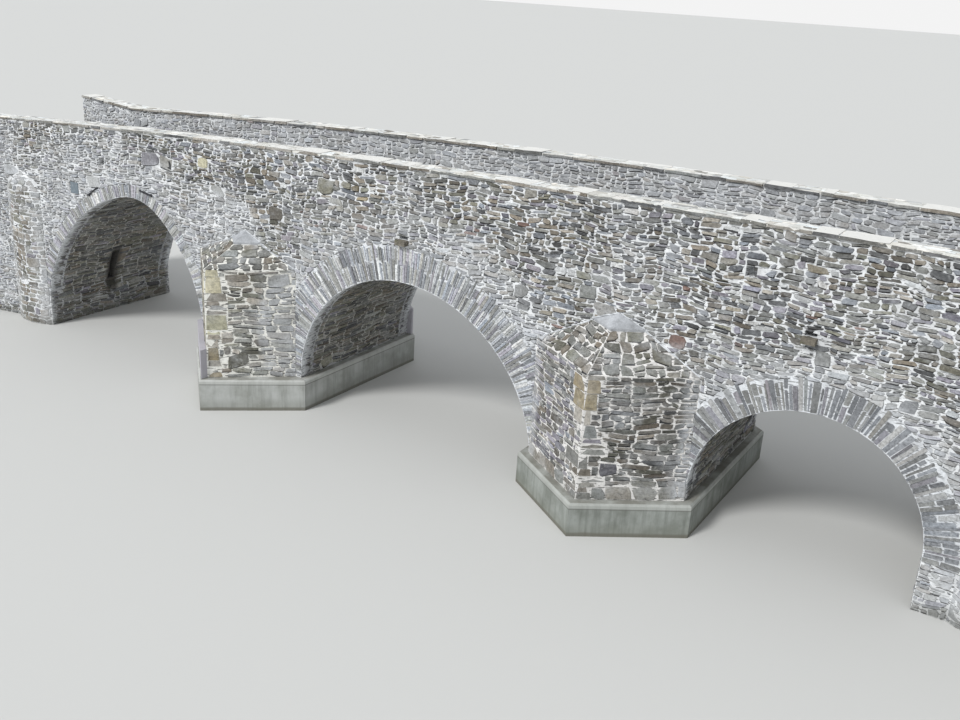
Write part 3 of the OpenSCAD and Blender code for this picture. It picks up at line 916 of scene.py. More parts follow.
BLOOMS = (
    Bloom((-9.6, 0.0, 1.6), (4.4, FAR, 4.0)),
    Bloom((0.5, 0.0, 0.9), (4.5, FAR, 4.1)),
    Bloom((9.5, 0.0, 1.0), (3.3, FAR, 3.2)),
    Bloom((-5.3, 0.0, 4.0), (1.3, FAR, 1.0)),
    Bloom((-15.2, 0.0, 3.2), (2.6, FAR, 3.2)),
    Bloom((-3.05, -2.5, 2.1), (0.5, 1.0, 1.3)),
    Bloom((0.0, 1.7, 5.9), (FAR, 0.4, 0.9)),
)


def make_shelter() -> bpy.types.NodeTree:
    """Makes the group for painted shade inside the arches, the damp foot, lime on the faces, and the wet niche,
    darkened nearly to black as painted shade of its recess.

    Returns:
        The group.
    """
    w, src, out = shader_group("shelter", (), ("Inside", "Foot", "Bloom", "Niche"))
    place = src["Vector"]
    x, y, z = w.parts(place)
    # Mask of the space under the arches, where painted shade darkens the surfaces.
    inside = w.times(w.near(y, 0.0, 2.19, 1.98), w.step(z, 4.6, 4.4), w.near(x, 0.0, 12.6, 12.5))
    edge = w.math("ADD", z, w.times(w.noise(place, 2.2, 3.0), 0.35))
    bloom, face = 0.0, w.near(y, 0.0, 2.42, 2.3)
    for spot in BLOOMS:
        away = w.stretch(w.vector("SUBTRACT", place, spot.middle), tuple(1 / r for r in spot.reach))
        here = w.step(w.vector("LENGTH", away, out=1), 1.18, 0.86)
        bloom = w.math("MAXIMUM", bloom, w.times(here, face) if spot.reach[1] == FAR else here)
    w.put(inside, out["Inside"])
    w.put(w.step(edge, 0.55, 0.18), out["Foot"])
    w.put(w.times(bloom, w.math("SUBTRACT", 1.0, inside)), out["Bloom"])
    # Mask of the niche in arch 1's barrel, where painted shade of the recess darkens it nearly to black.
    niche = (w.near(y, -0.06, 0.3, 0.1), w.near(z, 1.3, 0.85, 0.6), w.near(x, -12.1, 0.9, 0.5))
    w.put(w.times(*niche), out["Niche"])
    return w.tree


GRAIN, WEATHER, SHADE_DAMP_AND_LIME = make_grain(), make_weather(), make_shelter()
Paint = tuple[object, object, float, float]


@dataclass(frozen=True)
class Finish:
    """Base of every finish."""

    name: str
    ROUGHNESS: ClassVar[float]

    @cache
    def material(self) -> bpy.types.Material:
        """Builds the material at its first use.

        Returns:
            The material, with the finish's colour and height on a principled surface.
        """
        made = bpy.data.materials.new(self.name)
        made.use_nodes = True
        made.node_tree.nodes.clear()
        w = Wiring(made.node_tree)
        colour, height, strength, distance = self.paint(w, w.node("ShaderNodeTexCoord").outputs["Object"])
        surface = w.node("ShaderNodeBsdfPrincipled", {"Base Color": colour, "Roughness": self.ROUGHNESS})
        if strength:
            bump = w.node("ShaderNodeBump", {"Strength": strength, "Distance": distance, "Height": height})
            w.put(bump.outputs[0], surface.inputs["Normal"])
        w.node("ShaderNodeOutputMaterial", {"Surface": surface.outputs[0]})
        return made

    def paint(self, w: Wiring, place: Socket) -> Paint:
        """Wires the colour and the height of the surface.

        Args:
            w: Wiring of the material.
            place: The place on the object.

        Returns:
            Colour, height, and the strength and the distance of the bump.
        """
        raise NotImplementedError


@dataclass(frozen=True)
class PlainFinish(Finish):
    """One even colour."""

    colour: str = "c9c9c6"
    ROUGHNESS: ClassVar[float] = 0.9

    def paint(self, w: Wiring, place: Socket) -> Paint:
        """Gives the even colour, and no bump."""
        return linear(self.colour), None, 0.0, 0.0


@dataclass(frozen=True)
class StoneFinish(Finish):
    """Split or dressed stone, each one in its own colour or all in one."""

    grain: float = 18.0
    layers: float = 0.35
    contrast: float = 2.3
    dirt: float = 0.25
    lichen: float = 0.3
    haze: float = 0.4
    bloom: float = 0.5
    # Share of painted shade under the arches.
    inside: float = 0.2
    moss: float = 0.0
    top: Optional[str] = None
    bump: float = 1.0
    fixed: Optional[str] = None
    ROUGHNESS: ClassVar[float] = 0.86
    DARKEST: ClassVar[float] = 0.25

    def paint(self, w: Wiring, place: Socket) -> Paint:
        """Wires the stone: grain, lichen, dirt and lime, the damp foot, and painted shade under the arches and in the
        niche.
        """
        base = linear(self.fixed) if self.fixed else w.node("ShaderNodeAttribute", attribute_name="stone_colour").outputs[0]
        grain = w.group(GRAIN, Vector=place, Scale=self.grain, Layers=self.layers)
        weather, shelter = w.group(WEATHER, Vector=place), w.group(SHADE_DAMP_AND_LIME, Vector=place)
        shade = w.math("ADD", w.times(grain["Shade"], 2 * self.contrast), 1.0 - self.contrast)
        shade = w.math("MAXIMUM", shade, self.DARKEST)
        grey = w.node("ShaderNodeCombineColor", {k: shade for k in range(3)}).outputs[0]
        colour = w.mix(1.0, base, grey, "MULTIPLY")
        colour = w.stain(colour, "c4c5bf", weather["Lichen"], self.lichen)
        colour = w.stain(colour, "55534f", weather["Dirt"], self.dirt)
        haze, bloom = w.times(weather["Haze"], self.haze), w.times(shelter["Bloom"], self.bloom)
        lime = w.math("ADD", haze, bloom, clamp=True)
        colour = w.stain(colour, "cdd0d4", lime, w.step(grain["Shade"], 0.2, 0.6))
        if self.top:
            wash = w.step(grain["Shade"], 0.25, 0.45)
            colour = w.stain(colour, self.top, w.step(w.upward(), 0.55, 0.85), wash)
        if self.moss:
            clump = w.step(w.noise(place, 5.0, 4.0, 0.7), 0.62 - self.moss * 0.3, 0.7)
            colour = w.stain(colour, "5d6238", clump, self.moss)
        # Painted shade under the arches, the damp foot, and painted shade in the niche.
        places = (("Inside", self.inside, "2f2a26"), ("Foot", 0.45, "4b4a40"), ("Niche", 0.75, "2b2822"))
        for mask, share, code in places:
            colour = w.stain(colour, code, shelter[mask], share)
        return colour, grain["Height"], self.bump, 0.025


@dataclass(frozen=True)
class MortarFinish(Finish):
    """Lime mortar of the joints, smeared over the edges of the stones."""

    colour: str = "eef0f1"
    worn: str = "b4b5b6"
    # Share of painted shade under the arches.
    inside: float = 0.3
    streaks: float = 0.35
    # Share of thin dark dashes in the mortar: painted shadow in open joints.
    slits: float = 0.8
    ROUGHNESS: ClassVar[float] = 0.93
    BUMP: ClassVar[float] = 0.8

    def paint(self, w: Wiring, place: Socket) -> Paint:
        """Wires the mortar: worn patches, sand, streaks, dashes of painted shadow in open joints, the damp foot, and
        painted shade under the arches and in the niche.
        """
        grain = w.group(GRAIN, Vector=place, Scale=26.0, Layers=0.0)
        weather, shelter = w.group(WEATHER, Vector=place), w.group(SHADE_DAMP_AND_LIME, Vector=place)
        patch = w.step(w.noise(place, 3.4, 4.0, 0.65), 0.38, 0.64)
        colour = w.stain(linear(self.colour), self.worn, patch, 0.5)
        colour = w.stain(colour, self.worn, w.step(grain["Shade"], 0.36, 0.66), 0.4)
        colour = w.stain(colour, "7b7a78", weather["Streaks"], self.streaks)
        # Thin dark dashes: painted shadow in open joints.
        if self.slits:
            thin = w.noise(w.stretch(place, (1.0, 1.0, 6.0)), 6.5, 2.0, 0.5)
            colour = w.stain(colour, "333230", w.step(thin, 0.56, 0.61), self.slits)
        # Painted shade under the arches, the damp foot, and painted shade in the niche.
        places = (("Inside", self.inside, "403a34"), ("Foot", 0.5, "57574a"), ("Niche", 0.85, "211e19"))
        for mask, share, code in places:
            colour = w.stain(colour, code, shelter[mask], share)
        return colour, grain["Height"], self.BUMP, 0.012


@dataclass(frozen=True)
class ConcreteFinish(Finish):
    """Cast concrete of one footing, with the line of its form, streaks, a dark ledge and a pale foot."""

    top: float
    colour: str = "b4b6b3"
    clouds: str = "969892"
    stain: str = "7a7d77"
    ROUGHNESS: ClassVar[float] = 0.8

    def paint(self, w: Wiring, place: Socket) -> Paint:
        """Wires the concrete, from its clouds to the marks of the water."""
        z, top = w.parts(place)[2], self.top
        cloud, fine = w.noise(place, 1.6, 5.0, 0.62), w.noise(place, 45.0, 3.0)
        runs = w.noise(w.stretch(place, (6.0, 6.0, 0.5)), 1.5, 4.0, 0.65)
        colour = w.stain(linear(self.colour), self.clouds, w.step(cloud, 0.35, 0.7))
        colour = w.stain(colour, self.stain, w.step(runs, 0.40, 0.74), 0.55)
        lip = (w.step(z, top - 0.13, top - 0.09), w.step(z, top + 0.02, top))
        line = (w.step(z, top - 0.135, top - 0.12), w.step(z, top - 0.095, top - 0.11))
        colour = w.stain(colour, "c4c5c0", *lip, 0.4)
        colour = w.stain(colour, "54544e", *line, 0.55)
        colour = w.stain(colour, "6b675c", w.step(w.upward(), 0.8, 0.95), w.step(cloud, 0.30, 0.6), 0.6)
        colour = w.stain(colour, "b9b6bf", w.step(z, top, top + 0.03), 0.8)
        colour = w.stain(colour, "5b554a", w.step(w.math("ADD", z, w.times(cloud, 0.06)), 0.14, 0.08), 0.75)
        colour = w.stain(colour, "74766b", w.step(w.math("ADD", z, w.times(runs, 0.25)), 0.48, 0.26), 0.35)
        return colour, w.math("ADD", w.times(fine, 0.4), cloud), 0.35, 0.012


@dataclass(frozen=True)
class PlateFinish(Finish):
    """Painted sheet of the blank plate, dull from the weather."""

    ROUGHNESS: ClassVar[float] = 0.5

    def paint(self, w: Wiring, place: Socket) -> Paint:
        """Wires the paint, with clouds and small spots of rust."""
        cloud = w.noise(place, 14.0, 4.0, 0.6)
        colour = w.stain(linear("69747c"), "828c93", w.step(cloud, 0.4, 0.75))
        return w.stain(colour, "6b5140", w.step(w.noise(place, 40.0), 0.66, 0.72)), cloud, 0.2, 0.003


# Finish of the dark strips under the stones: painted shadow of their open joints.
SHADOW_STRIP = StoneFinish("joint_crevice", layers=0.0, contrast=1.0, dirt=0.0, lichen=0.0, haze=0.1, bloom=0.1, bump=0.2)
RUBBLE = StoneFinish("rubble_stone")
ROOF = StoneFinish("roof_stone", lichen=0.4)
QUOIN = StoneFinish("quoin_stone", grain=11.0, layers=0.2, contrast=2.0, haze=0.2, bloom=0.2)
# Near-black slates over arch 1's ring: their colour is painted shade of dark slots.
SLATE = StoneFinish("drip_slate", contrast=0.8, dirt=0.0, lichen=0.0, haze=0.0, bloom=0.0, fixed="303135")
# The voussoirs take a larger share of painted shade under the arches.
VOUSSOIR = StoneFinish("voussoir_stone", layers=0.15, contrast=2.2, dirt=0.15, haze=0.16, bloom=0.16, inside=0.5)
VAULT = StoneFinish("barrel_stone", dirt=0.3, lichen=0.15, haze=0.25, inside=0.08)
SLAB = StoneFinish("coping_stone", layers=0.3, dirt=0.2, lichen=0.3, haze=0.2, bloom=0.0, top="e4e3de")
CRUST = StoneFinish("coping_crust", layers=0.0, contrast=0.5, dirt=0.08, lichen=0.1, haze=0.1, bloom=0.0)
CAP = StoneFinish("cap_stone", grain=6.0, layers=0.0, contrast=0.9, dirt=0.3, haze=0.3, bloom=0.0, fixed="b4b7bb")
SETT = StoneFinish("sett_stone", layers=0.0, dirt=0.3, haze=0.2, bloom=0.0, inside=0.0)
SPOUT = StoneFinish("mossy_stone", moss=0.45, haze=0.1, bloom=0.0, fixed="716b60")
MORTAR = MortarFinish("wall_mortar")
PALE_MORTAR = MortarFinish("fresh_mortar", colour="e9ecef", worn="a6a8ab", streaks=0.2, slits=0.6)
CREAM_MORTAR = MortarFinish("coping_mortar", colour="efeee9", worn="c2c1ba", streaks=0.1, slits=0.0)
WARM_MORTAR = MortarFinish("warm_mortar", colour="f6f5ef", worn="d6d4cb")
DARK_MORTAR = MortarFinish("weathered_mortar", colour="f1efec", worn="b3b1ad")
VAULT_MORTAR = MortarFinish("barrel_mortar", colour="d5d4cf", worn="a5a39d", inside=0.15, slits=0.4)
BEDDING = MortarFinish("road_sand", colour="96938c", worn="76736c", inside=0.0, slits=0.0)
PALE_CONCRETE = ConcreteFinish("pale_concrete", PIERS[0].foot)
STAINED_CONCRETE = ConcreteFinish("stained_concrete", PIERS[1].foot, "989c97", "777b74", "5a5e57")


# Stones raised from their beds


@dataclass(frozen=True)
class Relief:
    """How far stones stand out of a surface, how wide their worn rims are and how uneven their tops."""

    least: float
    most: float
    rim: float
    uneven: float


FLAT = Relief(0.0, 0.0, 0.0, 0.0)
# The painted shadow strips lie just proud of the mortar.
SHADOW_STRIP_RELIEF = Relief(0.001, 0.002, 0.0, 0.0)
END_RELIEF = Relief(0.004, 0.024, 0.01, 0.005)


class StonesFromBeds:
    """Geometry Nodes tree that raises each bed of a mesh to a closed stone with a worn rim."""

    INPUTS: ClassVar[tuple[str, ...]] = ("Least Height", "Most Height", "Rim", "Unevenness", "Seed", "Finish")
    LEAST_TOP: ClassVar[float] = 0.55
    WELD: ClassVar[float] = 0.0001

    def __init__(self) -> None:
        """Builds the tree."""
        self.tree = bpy.data.node_groups.new("stones_from_beds", "GeometryNodeTree")
        self.tree.is_modifier = True
        w = Wiring(self.tree)
        w.socket("Geometry", "NodeSocketGeometry")
        for name, kind in zip(self.INPUTS, (FLOAT, FLOAT, FLOAT, FLOAT, "NodeSocketInt", "NodeSocketMaterial")):
            w.socket(name, kind)
        w.socket("Geometry", "NodeSocketGeometry", out=True)
        self._wire(w)

    def _wire(self, w: Wiring) -> None:
        """Links the steps: raise, narrow the top, roughen it, close the bed, set the finish.

        Args:
            w: Wiring of the tree.
        """
        source = w.node("NodeGroupInput").outputs
        beds, seed = source["Geometry"], source["Seed"]
        heights = {2: source["Least Height"], 3: source["Most Height"], "Seed": seed}
        height = w.node("FunctionNodeRandomValue", heights, data_type="FLOAT")
        depth = w.node("GeometryNodeInputNamedAttribute", {"Name": "bed_depth"}, data_type="FLOAT")
        reach = w.math("ADD", height.outputs[1], depth.outputs["Attribute"])
        raised = w.node("GeometryNodeExtrudeMesh", {"Mesh": beds, "Offset Scale": reach, "Individual": True},
                        mode="FACES").outputs
        side = w.math("SQRT", w.node("GeometryNodeInputMeshFaceArea").outputs[0])
        loss = w.math("DIVIDE", w.times(source["Rim"], 2.0), side)
        narrow = w.math("MAXIMUM", w.math("SUBTRACT", 1.0, loss), self.LEAST_TOP)
        top = w.node("GeometryNodeScaleElements", {"Geometry": raised["Mesh"], "Selection": raised["Top"],
                                                   "Scale": narrow}, domain="FACE")
        ways = {0: (-1.0, -1.0, -1.0), 1: (1.0, 1.0, 1.0), "Seed": seed}
        chance = w.node("FunctionNodeRandomValue", ways, data_type="FLOAT_VECTOR")
        wobble = w.node("ShaderNodeVectorMath", {0: chance.outputs[0], "Scale": source["Unevenness"]},
                        operation="SCALE")
        rough = w.node("GeometryNodeSetPosition", {"Geometry": top.outputs["Geometry"], "Selection": raised["Top"],
                                                   "Offset": wobble.outputs[0]})
        both = w.node("GeometryNodeJoinGeometry", {0: rough.outputs["Geometry"]})
        w.put(w.node("GeometryNodeFlipFaces", {"Mesh": beds}).outputs["Mesh"], both.inputs[0])
        closed = w.node("GeometryNodeMergeByDistance", {"Geometry": both.outputs[0], "Distance": self.WELD})
        real = w.node("GeometryNodeRealizeInstances", {"Geometry": closed.outputs["Geometry"]})
        dressed = {"Geometry": real.outputs["Geometry"], "Material": source["Finish"]}
        finish = w.node("GeometryNodeSetMaterial", dressed)
        w.node("NodeGroupOutput", {0: finish.outputs["Geometry"]})

    def raise_stones(self, name: str, beds: Beds, finish: Finish, relief: Relief, seed: int = 1) -> bpy.types.Object:
        """Turns beds into a finished piece of the bridge.

        Args:
            name: Name of the piece.
            beds: Beds of its stones.
            finish: Finish of the stones.
            relief: How the stones stand out.
            seed: Seed of the heights.

        Returns:
            The finished piece.
        """
        holder = put_in_scene(name + "_beds", beds.mesh(name + "_beds"))
        step = holder.modifiers.new("stones", "NODES")
        step.node_group = self.tree
        values = dict(zip(self.INPUTS, (*astuple(relief), seed, finish.material())))
        for item in self.tree.interface.items_tree:
            if item.name in values:
                step[item.identifier] = values[item.name]
        graph = bpy.context.evaluated_depsgraph_get()
        mesh = bpy.data.meshes.new_from_object(holder.evaluated_get(graph), depsgraph=graph)
        bpy.data.objects.remove(holder)
        mesh.name = name
        piece = put_in_scene(name, mesh)
        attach(piece, ROOT)
        triangles = sum(len(p.vertices) - 2 for p in mesh.polygons)
        LOG.info("%s: %d stones, %d triangles", name, len(beds.outlines), triangles)
        return piece

    def raise_crevices(self, name: str, gaps: Beds) -> bpy.types.Object:
        """Turns the dark strips under stones, painted shadow of their open joints, into a piece that lies flat on the
        mortar.
        """
        return self.raise_stones(name, gaps, SHADOW_STRIP, SHADOW_STRIP_RELIEF)


# Sub-assemblies


def drain_holes(turn: int) -> list[Obstacle]:
    """Mouths of the road's drains on one face of a parapet, which is looked at with a turn."""
    found, (half, height) = [], SIZES.drain
    for x in SIZES.drains:
        sill = SIZES.road_top(x)
        found.append(Obstacle.box(turn * x - half, turn * x + half, sill, sill + height, HOLE_GAP))
    return found


def bow(left: float, right: float, share: float, lift: float, drop: float) -> list[Pair]:
    """Outline of a buttress with its rounded top.

    Args:
        left: Its left edge, from its middle.
        right: Its right edge.
        share: Where its shoulders are, as a share of its edges.
        lift: Height of the shoulders over the edges.
        drop: How far its top stays under the real one.

    Returns:
        Its corners, counter-clockwise.
    """
    z = SIZES.buttress_height
    return [(left, 0), (right, 0), (right, z), (right * share, z + lift), (0, z + SIZES.buttress_top - drop),
            (left * share, z + lift), (left, z)]


@dataclass(frozen=True)
class FaceWall:
    """Rubble of one face: the walls over the arches, the parapet and the flared ends.

    Beside it are the lower left corner of the blank plate, the stones marked by their colour, with their
    middles and sizes, and the lines of the slates that throw the rain off the ring of arch 1. The slates'
    near-black colour is painted shade of the dark slots over the ring.
    """

    side: Side
    courses: Courses
    plate: Optional[Pair] = None
    marked: tuple[tuple[Stone, float, float, float, float], ...] = ()
    slates: tuple[tuple[Pair, Pair], ...] = ()
    RELIEF: ClassVar[Relief] = Relief(0.004, 0.034, 0.011, 0.006)
    SLATE_RELIEF: ClassVar[Relief] = Relief(0.045, 0.06, 0.003, 0.002)
    EDGES: ClassVar[Four] = (GAP, GAP, 0.03, 0.004)
    RING_LAP: ClassVar[float] = 0.06
    PLATE: ClassVar[float] = 0.3
    SLATE_WIDTH: ClassVar[float] = 0.035
    SLATE_DEPTH: ClassVar[float] = 0.02

    def _arch(self, arch: Arch) -> list[Obstacle]:
        """What an arch and its ring take up: the opening, and a sector for each arc."""
        turn = -self.side
        found = [Obstacle.box(*sorted((turn * arch.left, turn * arch.right)), -1.0, arch.springing)]
        for flank in End:
            for arc in arch.arcs(flank):
                x, lines = turn * (arch.left + arch.crown + flank * arc.x), []
                for angle, sign in ((arc.start, -1), (arc.end, 1)):
                    normal = (sign * turn * flank * math.cos(angle), -sign * math.sin(angle))
                    lines.append((*normal, normal[0] * x + normal[1] * arc.z))
                found.append(Obstacle(lines, (x, arc.z, arc.radius + (arch.ring - self.RING_LAP)), 0.01))
        return found

    def _pier(self, pier: PierSizes) -> list[Obstacle]:
        """What a pier takes up: the cutwater with its roof and cap, and the footing."""
        turn, eaves = -self.side, pier.eaves
        m, half, cap, edge = turn * pier.middle, pier.half, pier.cap_half, pier.cap_foot + SIZES.cap_edge
        corners = [(m - half, 0), (m + half, 0), (m + half, eaves), (m + cap, edge),
                   (m, pier.cap_foot + SIZES.cap_top), (m - cap, edge), (m - half, eaves)]
        ledges = sorted(turn * x for x in pier.ledges)
        return [Obstacle.polygon(corners, WIDE_GAP), Obstacle.box(*ledges, 0, pier.foot)]

    def _buttress(self, end: End) -> Obstacle:
        """Place of the buttress at one end, cut by the flare on the downstream face."""
        flip, middle = -end * self.side, abs(SIZES.buttress_middles[end > 0])
        inner, outer = -SIZES.buttress_reach(end, Side.UPSTREAM), SIZES.buttress_reach(end, self.side)
        placed = [(flip * (middle + x), z) for x, z in bow(inner, outer, 0.7, 0.28, 0.0)]
        return Obstacle.polygon(placed[::flip], WIDE_GAP)

    def obstacles(self) -> list[Obstacle]:
        """Everything that the stones of the face stay clear of."""
        turn, (half, below, above) = -self.side, SIZES.slot
        found = [block for arch in ARCHES for block in self._arch(arch)]
        found += [block for pier in PIERS for block in self._pier(pier)]
        found += [self._buttress(end) for end in End]
        found += [Obstacle.box(turn * x - half, turn * x + half, z - below, z + above, HOLE_GAP) for x, z in SIZES.slots]
        found += drain_holes(turn)
        if self.plate:
            x, z = self.plate
            found.append(Obstacle.box(x, x + self.PLATE, z, z + self.PLATE, 0.008))
        for _, x, z, width, height in self.marked:
            found.append(Obstacle.box(x - width / 2, x + width / 2, z - height / 2, z + height / 2))
        return found

    def _lay_marked(self, beds: Beds, place: Place) -> None:
        """Lays the marked stones, as worn blocks of eight corners."""
        rng, count = np.random.default_rng(self.courses.seed), 8
        turns = np.linspace(0, 2 * math.pi, count + 1)[:-1] + 0.2
        round_x, round_z = (np.sign(f(turns)) * np.abs(f(turns)) ** 0.6 for f in (np.cos, np.sin))
        for kind, x, z, width, height in self.marked:
            outline = np.stack([x + width / 2 * round_x * rng.uniform(0.92, 1.08, count),
                                z + height / 2 * round_z * rng.uniform(0.92, 1.08, count)], 1)
            beds.sink(place(outline), linear(kind.value))

    def build(self, stones: StonesFromBeds) -> None:
        """Lays and raises the stones of the face, and its slates."""
        end, top, beds, gaps = SIZES.face_end(self.side), SIZES.crest, Beds(), Beds()

        def scale(points: np.ndarray) -> np.ndarray:
            """Lets the courses follow the hump."""
            tops = np.array([SIZES.wall_top(self.side, -self.side * u) for u in points[:, 0]])
            return np.stack([points[:, 0], points[:, 1] * tops / top], 1)

        place = SIZES.face(self.side, SIZES.half_width, -self.side)
        wall = Field.level((-end, 0.0), (end, top), self.EDGES, place, self.obstacles(), scale)
        wall.fill(beds, self.courses, WALL_MIX, gaps)
        self._lay_marked(beds, place)
        name = f"{self.side.label}_face"
        stones.raise_stones(f"{name}_stones", beds, RUBBLE, self.RELIEF, self.courses.seed)
        # Dark strips under the stones: painted shadow.
        stones.raise_crevices(f"{name}_crevices", gaps)
        # Slates coloured near black: painted shade of the dark slots over the ring.
        slates = Beds()
        for line in self.slates:
            slates.sink(place(np.array(strip(*line, self.SLATE_WIDTH))), NEUTRAL, self.SLATE_DEPTH)
        if self.slates:
            stones.raise_stones("arch_1_drip_slates", slates, SLATE, self.SLATE_RELIEF)


@dataclass(frozen=True)
class ParapetInside:
    """Rubble of the face of one parapet along the road."""

    side: Side
    courses: Courses
    RELIEF: ClassVar[Relief] = Relief(0.004, 0.03, 0.011, 0.006)

    def build(self, stones: StonesFromBeds) -> None:
        """Lays and raises the stones."""
        end, height, beds, gaps = SIZES.face_end(self.side), SIZES.parapet, Beds(), Beds()

        def scale(points: np.ndarray) -> np.ndarray:
            """Sets the field between the road and the coping."""
            rows = []
            for u, v in points:
                road = SIZES.road_top(self.side * u)
                rows.append((u, road + (SIZES.wall_top(self.side, self.side * u) - road) * v / height))
            return np.array(rows)

        place = SIZES.face(self.side, SIZES.half_width - SIZES.wall, self.side)
        holes = drain_holes(self.side)
        wall = Field.level((-end, 0.0), (end, height), FaceWall.EDGES, place, holes, scale)
        wall.fill(beds, self.courses, WALL_MIX, gaps)
        name = f"{self.side.label}_parapet_road_side"
        # Dark strips under the stones: painted shadow.
        stones.raise_crevices(f"{name}_crevices", gaps)
        stones.raise_stones(f"{name}_stones", beds, RUBBLE, self.RELIEF, self.courses.seed)


@dataclass(frozen=True)
class Patch:
    """Flat piece of surface with straight edges."""

    origin: Vector
    along: Vector
    up: Vector

    @classmethod
    def through(cls, left: Vector, right: Vector, above: Vector) -> "Patch":
        """Patch with its lower edge from left to right, as seen from outside, and a point above it."""
        along = (right - left).normalized()
        rise = above - left
        return cls(left, along, (rise - along * rise.dot(along)).normalized())

    def place(self, points: np.ndarray) -> np.ndarray:
        """Points in space for places on the patch."""
        return (np.array(self.origin) + np.outer(points[:, 0], np.array(self.along))
                + np.outer(points[:, 1], np.array(self.up)))

    def flat(self, point: Vector) -> Pair:
        """Place on the patch of a point in space."""
        away = point - self.origin
        return away.dot(self.along), away.dot(self.up)


def edge_limits(corners: Sequence[Pair], gap: float) -> list[Triple]:
    """Lines just inside the edges of a convex, counter-clockwise outline."""
    return [(-nx, -ny, -d + gap) for nx, ny, d in Obstacle.polygon(corners).lines]


